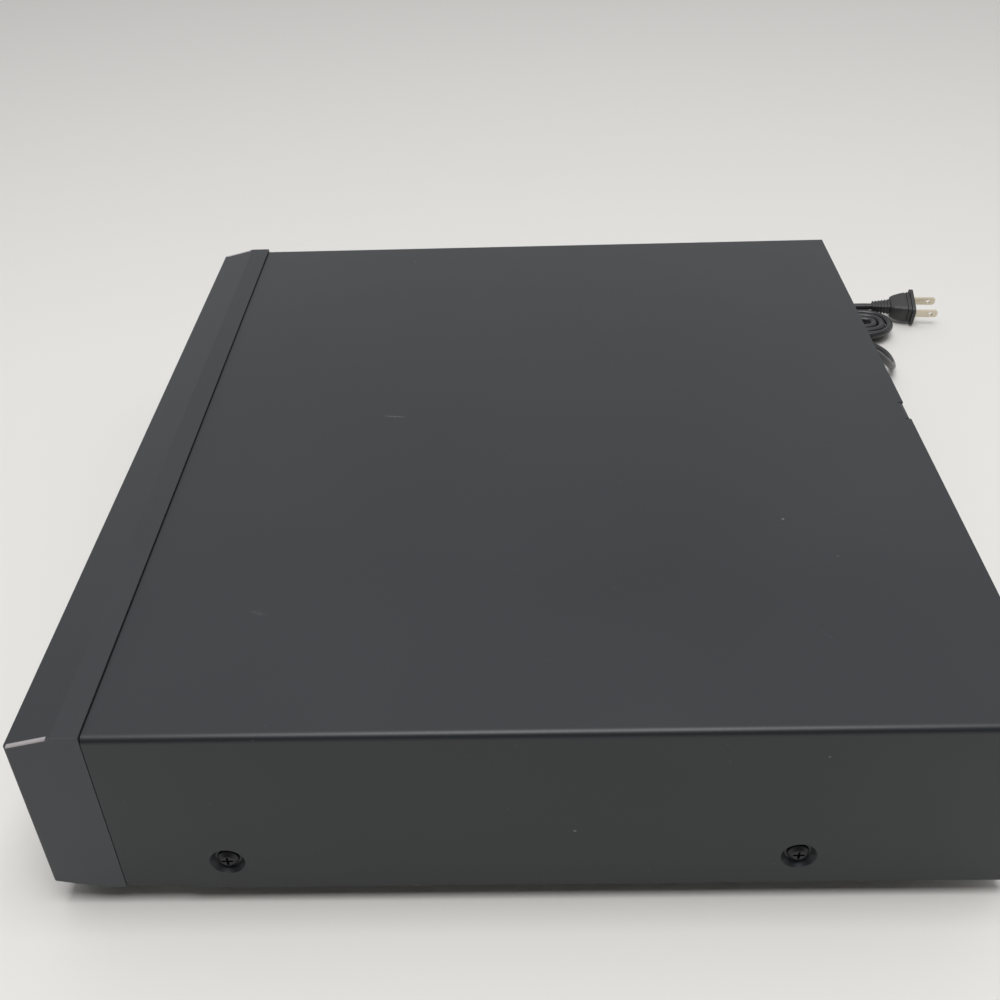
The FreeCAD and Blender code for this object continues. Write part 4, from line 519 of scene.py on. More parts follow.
zincLook = {"spangle": 160, "dark": (0.42, 0.43, 0.43), "light": (0.60, 0.60, 0.59), "rough": 0.26,
            "shadeFrom": 0.2123, "flangeShade": (0.07, 0.07, 0.07)}      # painted shade on the flanges' outer faces, under the cover
bridgeLook = {"spangle": 260, "dark": (0.46, 0.46, 0.45), "light": (0.62, 0.62, 0.60), "rough": 0.24}
brightLook = {"lines": 700, "stretch": (1, 1, 0.3), "dark": (0.52, 0.52, 0.50), "light": (0.70, 0.69, 0.66), "rough": 0.24}
dress("chassis_pan", zincSheet("panZinc", zincLook))
dress("clamp_bridge", zincSheet("bridgeZinc", bridgeLook))
dressAll(["foot_screws", "deck_screws"], turnedMetal("zincScrew", brightLook))


# Front panel: spark-textured moulding, drawer front, feet

bezelLook = {"dark": (0.0200, 0.0215, 0.0250), "light": (0.0260, 0.0275, 0.0315), "rough": 0.42, "grain": 1700,
             "depth": 0.00005, "strength": 0.55, "cloud": 6, "endLight": (0.052, 0.056, 0.064), "endFrom": 0.2148}
drawerFrontLook = {**bezelLook, "light": (0.022, 0.022, 0.024), "rough": 0.40}
footLook = {"dark": (0.016, 0.016, 0.017), "light": (0.026, 0.026, 0.028), "rough": 0.46, "cloud": 40}


def bezelPlastic(look):
    finish = mouldedPlastic("bezelPlastic", look)
    x, y, z = finish.axes(finish.place)
    cloud = finish.noise(look["cloud"], 4)
    body = finish.tint(cloud.within(0.3, 0.7), look["dark"], look["light"])
    finish.feed("Base Color", finish.tint(x.size() > look["endFrom"], body, look["endLight"]))   # painted light: the end faces made lighter
    return finish


dress("front_bezel", bezelPlastic(bezelLook))
dress("drawer_front", mouldedPlastic("drawerFrontPlastic", drawerFrontLook))
dress("feet", mouldedPlastic("footPlastic", footLook))


# the pale strip on the bezel's slope edge: a bright trim piece, its pale tone also painted light standing in for the
# highlight on that edge
stripAndHighlightLook = {"dark": (0.40, 0.37, 0.38), "light": (0.50, 0.47, 0.48)}


def paleStrip(look):
    finish = Finish("paleStrip", Metallic=0.35)
    brushed = finish.noise(600, 2, 0.6, finish.stretched((0.2, 0.05, 1)))
    finish.feed("Base Color", finish.tint(brushed, look["dark"], look["light"]))
    finish.feed("Roughness", brushed * 0.15 + 0.30)
    finish.relief(brushed, 0.00002, 0.3)
    return finish


dress("bezel_edge_trims", paleStrip(stripAndHighlightLook))


def rubberFoot():
    finish = Finish("rubberFoot")
    wear = finish.noise(120, 3)
    grit = finish.noise(1500, 2)
    finish.feed("Base Color", finish.tint(wear, (0.030, 0.030, 0.030), (0.070, 0.068, 0.066)))
    finish.feed("Roughness", grit * 0.15 + 0.68)
    finish.relief(grit, 0.00008, 0.6)
    return finish


dress("foot_pads", rubberFoot())


# Display: smoked window over a vacuum tube with its unlit segments

windowLook = {"tone": (0.13, 0.13, 0.135), "haze": 0.04}
tubeLook = {"glass": (0.045, 0.050, 0.052), "segment": (0.105, 0.115, 0.112), "frame": (0.30, 0.30, 0.29),
            "digits": 10, "pitch": 0.0105, "middle": 0.03095}


def smokedWindow(look):
    finish = Finish("smokedWindow", Transmission_Weight=0.85, IOR=1.49)
    smear = finish.noise(30, 3)
    finish.feed("Base Color", finish.tint(smear, look["tone"], tuple(c * 1.1 for c in look["tone"])))
    finish.feed("Roughness", smear * 0.05 + look["haze"])
    return finish


def displayGlass(look):
    finish = Finish("displayGlass")
    x, y, z = finish.axes(finish.place)
    half = look["digits"] * look["pitch"] / 2
    u = ((x + half) * (1 / look["pitch"])).fraction() - 0.5
    w = (z - look["middle"]) * (1 / 0.0042)
    upright = ((u.size() - 0.30).size() < 0.055) * (w.size() < 0.92) * (w.size() > 0.08)
    level = (u.size() < 0.24) * (((w.size() - 0.98).size() < 0.09).largest(w.size() < 0.07))
    digit = upright.largest(level) * (x.size() < half)
    mesh = finish.lines(900, {"Mortar Size": 0.12}, finish.stretched(turn=(math.radians(90), 0, 0)))
    onFace = y < -0.0
    finish.feed("Base Color", finish.tint(digit * onFace, finish.tint(mesh * 0.35, look["glass"], look["frame"]), look["segment"]))
    finish.feed("Roughness", finish.noise(90, 2) * 0.06 + 0.07)
    return finish


dress("display_window", smokedWindow(windowLook))
dress("display_tube", displayGlass(tubeLook))
print("front panel dressed")


# Circuit boards and what stands on them

boardLook = {"mask": (0.010, 0.075, 0.035), "track": (0.020, 0.130, 0.060), "pad": (0.52, 0.50, 0.46)}
paperBoardLook = {"mask": (0.32, 0.20, 0.085), "track": (0.42, 0.27, 0.12), "pad": (0.55, 0.52, 0.47)}


def boardLaminate(name, look, scale, turn):
    finish = Finish(name)
    flat = finish.stretched((1, 1, 1), turn)
    fine = finish.lines(scale, {"Mortar Size": 0.035, "Brick Width": 0.9, "Row Height": 0.22}, flat, 0.37)
    wide = finish.lines(scale * 0.43, {"Mortar Size": 0.05, "Brick Width": 0.9, "Row Height": 0.22}, flat, 0.61)
    lines = fine.largest(wide)
    pads = finish.cells(scale * 3.3, at=flat) < 0.17
    weave = finish.noise(900, 2)
    finish.feed("Base Color", finish.tint(pads, finish.tint(lines, look["mask"], look["track"]), look["pad"]))
    finish.feed("Roughness", weave * 0.12 + pads * -0.08 + 0.34)
    finish.relief(lines * 0.6 + pads, 0.00005, 0.6)
    return finish


upright = (math.radians(90), 0, 0)
dress("main_board", boardLaminate("greenBoard", boardLook, 75, (0, 0, 0)))
dress("power_board", boardLaminate("paperBoard", paperBoardLook, 45, (0, 0, 0)))
dress("front_board", boardLaminate("frontBoard", paperBoardLook, 55, upright))

partsLook = {
    "chip": (0.016, 0.016, 0.017), "socket": (0.66, 0.64, 0.58), "can": (0.55, 0.55, 0.53),
    "sleeve": (0.020, 0.026, 0.060), "lead": (0.50, 0.50, 0.48),
    "socketRows": (0.0425, 0.0500), "crystalRows": (0.1200, 0.1330), "crystalEdge": 0.1130, "capRows": 0.1450,
    "boardTop": 0.0196,
}


def boardParts(look):
    finish = Finish("boardParts")
    x, y, z = finish.axes(finish.place)
    up = finish.axes(finish.node("ShaderNodeTexCoord", out="Normal"))[2]
    sockets = (y > look["socketRows"][0]) * (y < look["socketRows"][1])
    crystal = (y > look["crystalRows"][0]) * (y < look["crystalRows"][1]) * (x < look["crystalEdge"])
    caps = y > look["capRows"]
    capTops = caps * (up > 0.9)
    legs = (z < look["boardTop"] + 0.0009) * (((x + y) * 900).fraction() < 0.5)
    body = finish.tint(legs, look["chip"], look["lead"])
    body = finish.tint(sockets, body, look["socket"])
    body = finish.tint(caps, body, look["sleeve"])
    finish.feed("Base Color", finish.tint(crystal.largest(capTops), body, look["can"]))
    finish.feed("Metallic", crystal.largest(capTops))
    finish.feed("Roughness", finish.noise(400, 2) * 0.2 + 0.30)
    finish.relief(finish.noise(1200, 2), 0.00002, 0.4)
    return finish


dress("main_board_parts", boardParts(partsLook))

transformerLook = {
    "core": (0.12, 0.115, 0.11), "edge": (0.30, 0.29, 0.27), "tape": (0.62, 0.47, 0.10), "bobbin": (0.020, 0.020, 0.022),
    "middle": (-0.1405, 0.1232), "stack": 0.00605, "coilHalf": 0.0112, "boardTop": 0.0196,
}


def woundCore(look):
    finish = Finish("woundCore")
    x, y, z = finish.axes(finish.place)
    sheets = (y * 2000).fraction() < 0.35
    inCore = (y - look["middle"][1]).size() < look["stack"]
    inBobbin = z < look["boardTop"] + 0.0031
    turns = (z * 4200).wave() * 0.5 + 0.5
    tape = finish.tint(turns * 0.35, look["tape"], tuple(c * 0.75 for c in look["tape"]))
    body = finish.tint(inCore, tape, finish.tint(sheets, look["core"], look["edge"]))
    finish.feed("Base Color", finish.tint(inBobbin, body, look["bobbin"]))
    finish.feed("Metallic", inCore * 0.7)
    finish.feed("Roughness", finish.noise(300, 3) * 0.25 + 0.32)
    finish.relief(sheets * inCore + turns * 0.3, 0.00006, 0.6)
    return finish


dress("power_transformer", woundCore(transformerLook))

capLook = {"sleeve": (0.018, 0.020, 0.026), "stripe": (0.42, 0.42, 0.40), "top": (0.62, 0.62, 0.60)}


def capacitorSleeve(look):
    finish = Finish("capacitorSleeve")
    normal = finish.axes(finish.node("ShaderNodeTexCoord", out="Normal"))
    tops = normal[2] > 0.9
    stripe = normal[0] > 0.82
    sleeve = finish.tint(stripe, look["sleeve"], look["stripe"])
    finish.feed("Base Color", finish.tint(tops, sleeve, look["top"]))
    finish.feed("Metallic", tops)
    finish.feed("Roughness", finish.noise(250, 3) * 0.15 + 0.24)
    finish.relief(finish.noise(500, 2), 0.00003, 0.4)
    return finish


dress("filter_capacitors", capacitorSleeve(capLook))

sinkLook = {"lines": 500, "stretch": (1, 1, 0.02), "dark": (0.58, 0.58, 0.57), "light": (0.72, 0.72, 0.71), "rough": 0.28}
dress("heat_sink", turnedMetal("extrudedAluminium", sinkLook))

switchLook = {"plate": (0.50, 0.50, 0.48), "body": (0.020, 0.020, 0.022)}


def tactSwitch(look):
    finish = Finish("tactSwitch")
    x, y, z = finish.axes(finish.place)
    normal = finish.axes(finish.node("ShaderNodeTexCoord", out="Normal"))
    low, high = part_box("tact_switches")
    plate = (y - (high[1] - 0.0034)).size() < 0.0009
    finish.feed("Base Color", finish.tint(plate, look["body"], look["plate"]))
    finish.feed("Metallic", plate)
    finish.feed("Roughness", finish.noise(500, 2) * 0.15 + (normal[1].size() * 0.05 + 0.28))
    finish.relief(finish.noise(1400, 2), 0.00002, 0.3)
    return finish


dress("tact_switches", tactSwitch(switchLook))
print("boards dressed")


# Rear sockets

jackLook = {
    "block": (0.022, 0.022, 0.024), "behind": 0.1893,
    "rings": {(96, 27.6): (0.42, 0.012, 0.010), (96, 41.6): (0.62, 0.60, 0.56), (110, 27.6): (0.70, 0.46, 0.015),
              (110, 41.6): (0.015, 0.25, 0.045), (124, 27.6): (0.015, 0.045, 0.33), (124, 41.6): (0.42, 0.012, 0.010)},
    "reach": 0.0066,
}


def jackPlastic(look):
    finish = Finish("jackPlastic")
    x, y, z = finish.axes(finish.place)
    tone = finish.tint(finish.noise(60, 3), look["block"], tuple(c * 1.4 for c in look["block"]))
    for (px, pz), ring in look["rings"].items():
        near = speckMask(finish, x, z, (px / 1000, pz / 1000), look["reach"]) * (y > look["behind"])
        tone = finish.tint(near, tone, ring)
    grain = finish.noise(1300, 2)
    finish.feed("Base Color", tone)
    finish.feed("Roughness", grain * 0.12 + 0.34)
    finish.relief(grain, 0.00003, 0.4)
    return finish


nickelLook = {"lines": 1200, "stretch": (1, 0.1, 1), "dark": (0.56, 0.53, 0.48), "light": (0.74, 0.71, 0.66), "rough": 0.16}
socketLook = {"dark": (0.014, 0.014, 0.015), "light": (0.022, 0.022, 0.024), "rough": 0.34, "cloud": 90}
shutterLook = {"dark": (0.020, 0.020, 0.021), "light": (0.030, 0.030, 0.032), "rough": 0.40, "cloud": 120, "grain": 900}
dress("av_jack_block", jackPlastic(jackLook))
dress("av_jack_shells", turnedMetal("jackNickel", nickelLook))
dress("s_video_socket", mouldedPlastic("roundSocketPlastic", socketLook))
dress("optical_socket", mouldedPlastic("squareSocketPlastic", shutterLook))


# Deck, drawer, carousel and traverse mouldings

deckLook = {"dark": (0.020, 0.020, 0.021), "light": (0.032, 0.032, 0.033), "rough": 0.44, "cloud": 9, "grain": 900}
trayLook = {"dark": (0.024, 0.024, 0.026), "light": (0.034, 0.034, 0.036), "rough": 0.38, "cloud": 8, "grain": 1100}
tableLook = {"dark": (0.034, 0.034, 0.036), "light": (0.048, 0.048, 0.050), "rough": 0.40, "cloud": 10, "grain": 1500,
             "depth": 0.00006}
capTopLook = {"dark": (0.016, 0.016, 0.018), "light": (0.022, 0.022, 0.024), "rough": 0.22, "cloud": 30}
baseLook = {"dark": (0.020, 0.020, 0.022), "light": (0.030, 0.030, 0.032), "rough": 0.46, "cloud": 22, "grain": 800}
puckLook = {"dark": (0.018, 0.018, 0.020), "light": (0.028, 0.028, 0.030), "rough": 0.36, "cloud": 70}
camLook = {"dark": (0.55, 0.54, 0.50), "light": (0.68, 0.66, 0.61), "rough": 0.36, "cloud": 30}
dress("mechanism_deck", mouldedPlastic("deckPlastic", deckLook))
dress("drawer_tray", mouldedPlastic("trayPlastic", trayLook))
dress("carousel_table", mouldedPlastic("tablePlastic", tableLook))
dress("carousel_cap", mouldedPlastic("capPlastic", capTopLook))
dress("traverse_base", mouldedPlastic("basePlastic", baseLook))
dress("clamp_puck", mouldedPlastic("puckPlastic", puckLook))
dress("cam_slider", mouldedPlastic("camPlastic", camLook))

gearLook = {"clean": (0.66, 0.64, 0.58), "warm": (0.74, 0.71, 0.62), "grease": (0.42, 0.37, 0.24)}


def gearPlastic(name, look, scale):
    finish = Finish(name)
    flow = finish.noise(scale, 3)
    grease = (finish.noise(scale * 4, 2) > 0.60) * 0.35
    body = finish.tint(flow, look["clean"], look["warm"])
    finish.feed("Base Color", finish.tint(grease, body, look["grease"]))
    finish.feed("Roughness", flow * 0.14 + 0.30)
    finish.relief(finish.noise(900, 2), 0.00003, 0.3)
    return finish


dressAll(["load_drive_gear", "load_pulley_gear", "sled_gear"], gearPlastic("gearPlastic", gearLook, 60))
dressAll(["carousel_drive_gear", "load_motor_pulley"], gearPlastic("pinionPlastic", gearLook, 110))

beltLook = {"dark": (0.014, 0.014, 0.014), "light": (0.024, 0.024, 0.024), "rough": 0.58, "grain": 1600, "cloud": 120}
dress("load_belt", mouldedPlastic("beltRubber", beltLook))

motorLook = {"can": (0.50, 0.50, 0.49), "shade": (0.40, 0.40, 0.40), "cap": (0.58, 0.56, 0.50)}


def motorCan(name, look, capLow, capHigh):
    finish = Finish(name)
    x, y, z = finish.axes(finish.place)
    cap = (z > capLow) * (z < capHigh)
    drawn = finish.noise(500, 2, 0.6, finish.stretched((1, 1, 0.08)))
    body = finish.tint(drawn, look["shade"], look["can"])
    finish.feed("Base Color", finish.tint(cap, body, look["cap"]))
    finish.feed("Metallic", 1 - cap)
    finish.feed("Roughness", drawn * 0.18 + (cap * 0.15 + 0.24))
    finish.relief(drawn, 0.00002, 0.4)
    return finish


def endCap(node, share, atTop):
    low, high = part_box(node)
    thick = (high[2] - low[2]) * share
    return (high[2] - thick, high[2]) if atTop else (low[2], low[2] + thick)


dress("load_motor", motorCan("loadMotorCan", motorLook, *endCap("load_motor", 0.12, False)))
dress("carousel_motor", motorCan("carouselMotorCan", motorLook, *endCap("carousel_motor", 0.14, True)))
dress("sled_motor", motorCan("sledMotorCan", motorLook, *endCap("sled_motor", 0.14, False)))
dress("spindle_motor", motorCan("spindleMotorCan", motorLook, 0.0, 0.0001))

shaftLook = {"lines": 1500, "stretch": (1, 0.02, 1), "dark": (0.60, 0.60, 0.61), "light": (0.74, 0.74, 0.75), "rough": 0.10}
dress("guide_shafts", turnedMetal("polishedShaft", shaftLook))

sledLook = {"casting": (0.30, 0.30, 0.30), "bright": (0.42, 0.42, 0.42), "cover": (0.022, 0.022, 0.024), "coverHalf": 0.0101,
            "coverLow": 0.0490, "rackEdge": -0.0373, "rack": (0.60, 0.58, 0.52)}


def pickupCasting(look):
    finish = Finish("pickupCasting")
    x, y, z = finish.axes(finish.place)
    cover = (x.size() < look["coverHalf"]) * (z > look["coverLow"])
    teeth = x < look["rackEdge"]
    pitted = finish.noise(700, 3)
    body = finish.tint(pitted, look["casting"], look["bright"])
    body = finish.tint(cover, body, look["cover"])
    finish.feed("Base Color", finish.tint(teeth, body, look["rack"]))
    finish.feed("Metallic", (1 - cover) * (1 - teeth))
    finish.feed("Roughness", pitted * 0.2 + 0.34)
    finish.relief(pitted, 0.00006, 0.5)
    return finish


dress("pickup_sled", pickupCasting(sledLook))

hubLook = {"dark": (0.022, 0.022, 0.024), "light": (0.034, 0.034, 0.036), "rough": 0.30, "cloud": 90}
dress("disc_hub", mouldedPlastic("hubPlastic", hubLook))

buttonLook = {"dark": (0.0175, 0.0175, 0.019), "light": (0.022, 0.022, 0.024), "rough": 0.17, "spread": 0.06,
              "cloud": 60, "grain": 500, "depth": 0.00001, "strength": 0.2}
buttonNames = [name for name in nodes if name.endswith("_button")]
dressAll(buttonNames, mouldedPlastic("buttonPlastic", buttonLook))
print("mechanism dressed")


# Extra pieces

def addPiece(name, bm, finish, body, sharp=35.0):
    data = bpy.data.meshes.new(name)
    bm.to_mesh(data)
    bm.free()
    data.polygons.foreach_set("use_smooth", [True] * len(data.polygons))
    data.set_sharp_from_angle(angle=math.radians(sharp))
    data.materials.append(finish.material)
    piece = bpy.data.objects.new(name, data)
    scene.collection.objects.link(piece)
    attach(piece, body)
    return piece


def closeUp(bm):
    bmesh.ops.remove_doubles(bm, verts=bm.verts[:], dist=1e-6)
    bmesh.ops.recalc_face_normals(bm, faces=bm.faces[:])


def spinOutline(outline, centre, steps=64):      # outline points are (radius, height)
    bm = bmesh.new()
    verts = [bm.verts.new((radius, 0, height)) for radius, height in outline]
    edges = [bm.edges.new(pair) for pair in zip(verts, verts[1:])]
    bmesh.ops.spin(bm, geom=verts + edges, cent=(0, 0, 0), axis=(0, 0, 1), angle=math.tau, steps=steps, use_merge=True)
    closeUp(bm)
    bmesh.ops.translate(bm, verts=bm.verts[:], vec=(*centre, 0))
    return bm


# The plug: a moulded body drawn out section by section along the cord

plugShape = {
    "corner": 0.35,           # share of the section's half height
    "relief": [(0.0, 0.0031, 0.0031), (0.0130, 0.0046, 0.0042)],
    "reliefRings": 6,
    "ringDepth": 0.0005,
    "body": [(0.0128, 0.0062, 0.0051), (0.0150, 0.0074, 0.0058), (0.0200, 0.0090, 0.0066), (0.0235, 0.0097, 0.0069),
             (0.0238, 0.0093, 0.0066), (0.0244, 0.0093, 0.0066), (0.0247, 0.0098, 0.0069), (0.0270, 0.0099, 0.0070),
             (0.0271, 0.0119, 0.0081), (0.0295, 0.0120, 0.0082)],
    "bevel": 0.0003,
}
plugLook = {"dark": (0.030, 0.030, 0.032), "light": (0.042, 0.042, 0.044), "rough": 0.40, "cloud": 60, "grain": 1300}


def sectionStart(bm, shape, wide, high):
    bmesh.ops.create_grid(bm, x_segments=1, y_segments=1, size=1.0)
    bmesh.ops.bevel(bm, geom=bm.verts[:], offset=shape["corner"], segments=4, profile=0.5, affect="VERTICES", material=-1)
    bmesh.ops.scale(bm, verts=bm.verts[:], vec=(wide, high, 1))
    return bm.faces[:][0]


def drawOut(bm, face, sections):
    for (z0, w0, h0), (z1, w1, h1) in zip(sections, sections[1:]):
        grown = bmesh.ops.extrude_face_region(bm, geom=[face])["geom"]
        verts = [item for item in grown if isinstance(item, bmesh.types.BMVert)]
        bmesh.ops.scale(bm, verts=verts, vec=(w1 / w0, h1 / h0, 1))
        bmesh.ops.translate(bm, verts=verts, vec=(0, 0, z1 - z0))
        face = next(item for item in grown if isinstance(item, bmesh.types.BMFace))
    return face


def ringedRelief(shape):
    (z0, w0, h0), (z1, w1, h1) = shape["relief"]
    sections = []
    count = shape["reliefRings"]
    for ring in range(count):
        for part, inset in ((0.0, 0), (0.55, 0), (0.62, 1), (0.93, 1)):
            t = (ring + part) / count
            grown = shape["ringDepth"] * inset
            sections.append((z0 + (z1 - z0) * t, w0 + (w1 - w0) * t - grown, h0 + (h1 - h0) * t - grown))
    return sections + [(z1, w1, h1)]


def addPlug(shape, look):
    tail = hankPoints(cordShape)[-1]
    turn = Matrix((plugAcross, plugUp, -hankHeading)).transposed().to_4x4()
    bm = bmesh.new()
    for sections in (ringedRelief(shape), shape["body"]):
        part = bmesh.new()
        z, wide, high = sections[0]
        face = sectionStart(part, shape, wide, high)
        bmesh.ops.translate(part, verts=part.verts[:], vec=(0, 0, z))
        drawOut(part, face, sections)
        held = bpy.data.meshes.new("plugPart")
        closeUp(part)
        part.to_mesh(held)
        part.free()
        bm.from_mesh(held)
        bpy.data.meshes.remove(held)
    bmesh.ops.transform(bm, matrix=Matrix.Translation(tail) @ turn, verts=bm.verts[:])
    bmesh.ops.recalc_face_normals(bm, faces=bm.faces[:])
    plug = addPiece("mouldedPlug", bm, mouldedPlastic("plugVinyl", look), "case", 50)
    edges = plug.modifiers.new("softEdges", "BEVEL")
    edges.width = shape["bevel"]
    edges.segments = 2
    edges.limit_method = "ANGLE"
    edges.angle_limit = math.radians(40)
    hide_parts("power_plug")
    return plug


mouldedPlug = addPlug(plugShape, plugLook)
bladeLook = {"lines": 900, "stretch": (0.1, 1, 1), "dark": (0.62, 0.55, 0.42), "light": (0.76, 0.70, 0.58), "rough": 0.20}
dress("plug_blades", turnedMetal("plugBlade", bladeLook))


# The tie: a flat band round the hank's waist, its ends twisted together

tieShape = {"clear": 0.0003, "thick": 0.0008, "width": 0.0038, "twist": 0.0085, "twistTurns": 3.5, "wire": 0.0006}
tieLook = {"dark": (0.020, 0.020, 0.021), "light": (0.040, 0.040, 0.042), "rough": 0.36, "cloud": 200}


def addTie(shape, look):
    low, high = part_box("cord_tie")
    offset = cordShape["strandStep"] / 4              # the runs back lie half a step further out
    middle = hankPoint(0, -offset, 0)
    turn = Matrix((hankAcross, up, -hankHeading)).transposed().to_4x4()
    outer = cordShape["innerFold"] + (cordShape["columns"] - 1) * cordShape["strandStep"] - cordShape["waistDraw"]
    wide = outer + offset + cordShape["diameter"] / 2 + shape["clear"] + shape["thick"]
    tall = (high[2] - low[2]) / 2
    bm = bmesh.new()
    face = sectionStart(bm, plugShape, wide, tall)
    bmesh.ops.translate(bm, verts=bm.verts[:], vec=(0, 0, -shape["width"] / 2))
    sections = [(0, wide, tall), (shape["width"], wide, tall)]
    end = drawOut(bm, face, sections)
    caps = [f for f in bm.faces if abs(f.normal.z) > 0.9]
    bmesh.ops.delete(bm, geom=caps, context="FACES_ONLY")
    bmesh.ops.recalc_face_normals(bm, faces=bm.faces[:])
    bmesh.ops.solidify(bm, geom=bm.faces[:], thickness=shape["thick"])
    spun = bmesh.ops.create_circle(bm, cap_ends=True, radius=shape["wire"], segments=10)["verts"]
    bmesh.ops.rotate(bm, verts=spun, cent=(0, 0, 0), matrix=Matrix.Rotation(math.radians(90), 3, "X"))
    bmesh.ops.translate(bm, verts=spun, vec=(shape["wire"], 0, 0))
    geom = spun + list({f for v in spun for f in v.link_faces}) + list({e for v in spun for e in v.link_edges})
    helix = bmesh.ops.spin(
        bm, geom=geom, cent=(0, 0, 0), axis=(0, 0, 1), dvec=(0, 0, shape["twist"] / 60),
        angle=math.tau * shape["twistTurns"], steps=60)
    tailVerts = list({v for v in bm.verts if v.co.x * v.co.x + v.co.y * v.co.y < (shape["wire"] * 2.2) ** 2})
    bmesh.ops.rotate(bm, verts=tailVerts, cent=(0, 0, 0), matrix=Matrix.Rotation(math.radians(90), 3, "Y"))
    bmesh.ops.translate(bm, verts=tailVerts, vec=(wide * 0.1, tall + shape["wire"], 0))
    bmesh.ops.transform(
        bm, matrix=Matrix.Translation(middle + Vector((0, 0, (low[2] + high[2]) / 2))) @ turn, verts=bm.verts[:])
    bmesh.ops.recalc_face_normals(bm, faces=bm.faces[:])
    tie = addPiece("twistTie", bm, mouldedPlastic("tieVinyl", look), "case", 45)
    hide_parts("cord_tie")
    return tie


twistTie = addTie(tieShape, tieLook)
print("plug and tie made")


# Printed symbols on the buttons: each is a thin raised print

inkLook = {"dark": (0.50, 0.50, 0.49), "light": (0.58, 0.58, 0.57), "rough": 0.44, "cloud": 400, "grain": 1500}
printInk = mouldedPlastic("printInk", inkLook)
symbolShape = {
    "face": -0.1995, "proud": 0.00003, "sunk": 0.00003, "size": 0.0013,
    "marks": {
        "power": [("arc", 0, 0, 1.0, 300), ("bar", 0, 0.9, 0.14, 0.55)],
        "open_close": [("point", 0, 0.25, 0.95, 90), ("bar", 0, -0.80, 0.95, 0.14)],
        "disc_skip": [("arc", 0, 0, 1.0, 250), ("arc", 0, 0, 0.35, 360), ("point", 0.93, 0.35, 0.42, 100)],
        "play": [("point", 0, 0, 1.05, 0)],
        "pause": [("bar", -0.42, 0, 0.18, 0.85), ("bar", 0.42, 0, 0.18, 0.85)],
        "stop": [("bar", 0, 0, 0.78, 0.78)],
        "previous": [("point", -0.15, 0, 0.75, 180), ("point", 0.95, 0, 0.75, 180), ("bar", -1.05, 0, 0.12, 0.66)],
        "next": [("point", 0.15, 0, 0.75, 0), ("point", -0.95, 0, 0.75, 0), ("bar", 1.05, 0, 0.12, 0.66)],
    },
}


def addMark(bm, kind, x, z, first, second):
    if kind == "bar":
        verts = bmesh.ops.create_grid(bm, x_segments=1, y_segments=1, size=1.0)["verts"]
        bmesh.ops.scale(bm, verts=verts, vec=(first, second, 1))
    elif kind == "point":
        verts = bmesh.ops.create_circle(bm, cap_ends=True, radius=first, segments=3)["verts"]
        bmesh.ops.rotate(bm, verts=verts, matrix=Matrix.Rotation(math.radians(second - 90), 3, "Z"))
    else:
        inner, outer = bm.verts.new((0, first * 0.76, 0)), bm.verts.new((0, first, 0))
        spoke = bm.edges.new((inner, outer))
        begin = math.radians(180 - second / 2)
        bmesh.ops.rotate(bm, verts=[inner, outer], matrix=Matrix.Rotation(begin, 3, "Z"))
        before = set(bm.verts) - {inner, outer}
        bmesh.ops.spin(bm, geom=[inner, outer, spoke], cent=(0, 0, 0), axis=(0, 0, 1), angle=math.radians(second),
                       steps=28, use_merge=second == 360)
        verts = list(set(bm.verts) - before)
    bmesh.ops.translate(bm, verts=verts, vec=(x, z, 0))


def addSymbol(name, marks, shape):
    low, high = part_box(name + "_button")
    centre = ((low[0] + high[0]) / 2, shape["face"], (low[2] + high[2]) / 2)
    bm = bmesh.new()
    for mark in marks:
        addMark(bm, *mark)
    bmesh.ops.scale(bm, verts=bm.verts[:], vec=(shape["size"],) * 3)
    grown = bmesh.ops.extrude_face_region(bm, geom=bm.faces[:])["geom"]
    lifted = [item for item in grown if isinstance(item, bmesh.types.BMVert)]
    bmesh.ops.translate(bm, verts=lifted, vec=(0, 0, shape["proud"] + shape["sunk"]))
    bmesh.ops.translate(bm, verts=bm.verts[:], vec=(0, 0, -shape["sunk"]))
    bmesh.ops.rotate(bm, verts=bm.verts[:], matrix=Matrix.Rotation(math.radians(90), 3, "X"))
    bmesh.ops.translate(bm, verts=bm.verts[:], vec=centre)
    closeUp(bm)
    return addPiece(name + "Symbol", bm, printInk, name + "_button_cap", 20)


for name, marks in symbolShape["marks"].items():
    addSymbol(name, marks, symbolShape)
print("button symbols made")


# Disc numbers round the carousel's middle

numberShape = {"middle": (0.0, -0.0168), "radius": 0.0257, "size": 0.0068, "top": 0.0670, "proud": 0.00003}


def addNumbers(shape):
    bm = bmesh.new()
    for place in range(5):
        label = bpy.data.curves.new("numberText", "FONT")
        label.body = str(place + 1)
        label.align_x = "CENTER"
        label.align_y = "CENTER"
        label.size = shape["size"]
        label.extrude = shape["proud"]
        holder = bpy.data.objects.new("numberText", label)
        flat = bpy.data.meshes.new_from_object(holder)
        angle = math.radians(90 + 72 * place)
        spot = Vector((*shape["middle"], shape["top"])) + Vector((math.cos(angle), math.sin(angle), 0)) * shape["radius"]
        flat.transform(Matrix.Translation(spot) @ Matrix.Rotation(angle - math.radians(90), 4, "Z"))
        bm.from_mesh(flat)
        bpy.data.objects.remove(holder)
        bpy.data.curves.remove(label)
        bpy.data.meshes.remove(flat)
    closeUp(bm)
    return addPiece("discNumbers", bm, printInk, "carousel", 20)


addNumbers(numberShape)


# Pickup lens and the disc hub's rubber ring

lensShape = {"centre": (0.0, 0.0637), "foot": 0.0523, "radius": 0.0023, "rise": 0.0006}
ringShape = {"centre": (0.0, 0.0877), "seat": 0.0545, "inner": 0.0086, "outer": 0.0136, "rise": 0.0003}


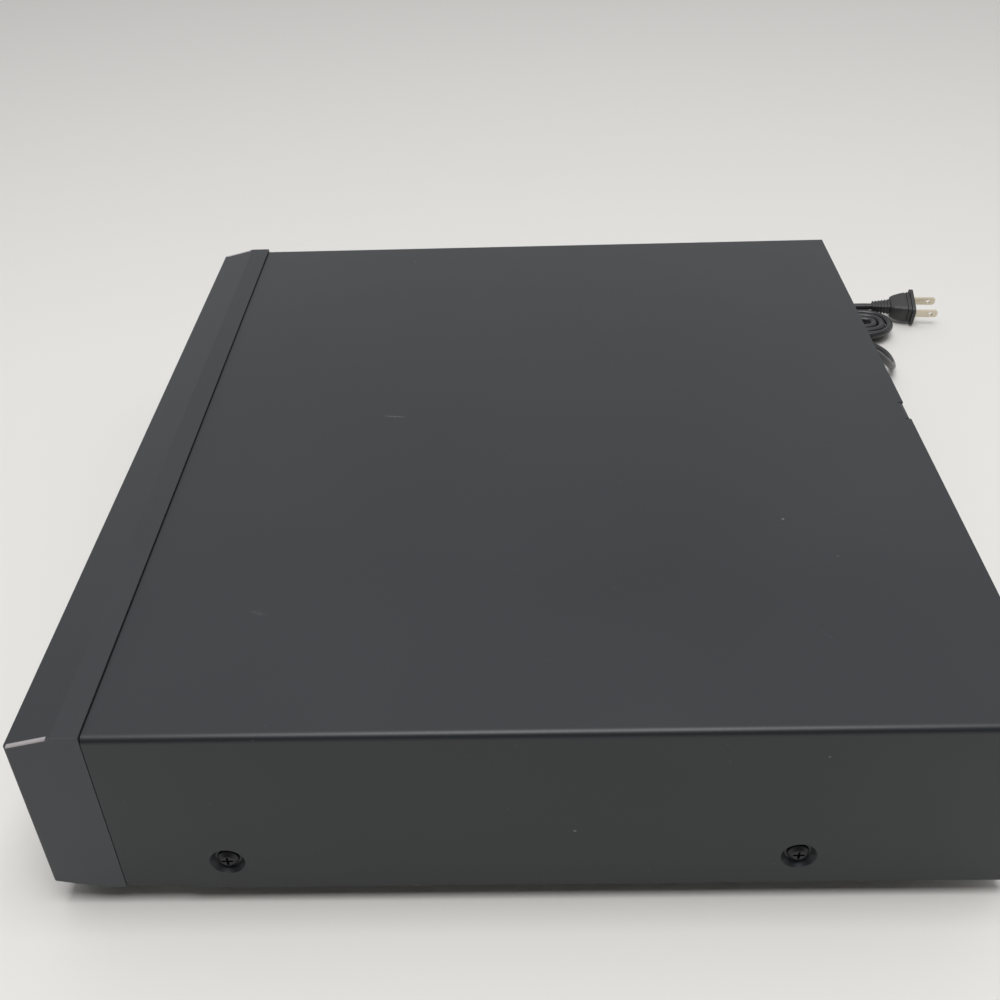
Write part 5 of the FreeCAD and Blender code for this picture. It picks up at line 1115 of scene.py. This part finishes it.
def lensGlass():
    finish = Finish("lensGlass", Transmission_Weight=0.35, IOR=1.52, Coat_Weight=0.6)
    edge = finish.noise(80, 2)
    finish.feed("Base Color", finish.tint(edge, (0.10, 0.16, 0.32), (0.20, 0.26, 0.44)))
    finish.feed("Roughness", edge * 0.03 + 0.02)
    return finish


def addLens(shape):
    steps = 8
    outline = [(0.0, shape["foot"]), (shape["radius"] * 1.1, shape["foot"]), (shape["radius"] * 1.1, shape["foot"] + 0.0002)]
    for step in range(steps + 1):
        angle = math.pi / 2 * step / steps
        outline.append((shape["radius"] * math.cos(angle), shape["foot"] + 0.0002 + shape["rise"] * math.sin(angle)))
    return addPiece("pickupLens", spinOutline(outline, shape["centre"], 48), lensGlass(), "pickup")


def addHubRing(shape):
    seat, top = shape["seat"] - 0.0001, shape["seat"] + shape["rise"]
    outline = [(shape["inner"], seat), (shape["outer"], seat), (shape["outer"], top - 0.0001), (shape["outer"] - 0.0001, top),
               (shape["inner"] + 0.0001, top), (shape["inner"], top - 0.0001), (shape["inner"], seat)]
    return addPiece("hubRubber", spinOutline(outline, shape["centre"], 72), rubberRing, "hub")


rubberRing = mouldedPlastic("hubRubber", {"dark": (0.020, 0.020, 0.020), "light": (0.045, 0.045, 0.044), "rough": 0.62,
                                          "cloud": 200, "grain": 1800})
addLens(lensShape)
addHubRing(ringShape)
print("pickup lens and hub ring made")


# Cord vinyl and the strain-relief bush

def cordVinyl():
    finish = Finish("cordVinyl")
    mottle = finish.noise(180, 3)
    finish.feed("Base Color", finish.tint(mottle, (0.018, 0.018, 0.020), (0.036, 0.036, 0.039)))
    finish.feed("Roughness", mottle * 0.16 + 0.26)
    finish.relief(finish.noise(900, 2), 0.00006, 0.4)
    return finish


mainsCord.data.materials.append(cordVinyl().material)
bushLook = {"dark": (0.015, 0.015, 0.016), "light": (0.024, 0.024, 0.025), "rough": 0.44, "cloud": 80}
dress("cord_bush", mouldedPlastic("bushVinyl", bushLook))

bpy.context.view_layer.update()
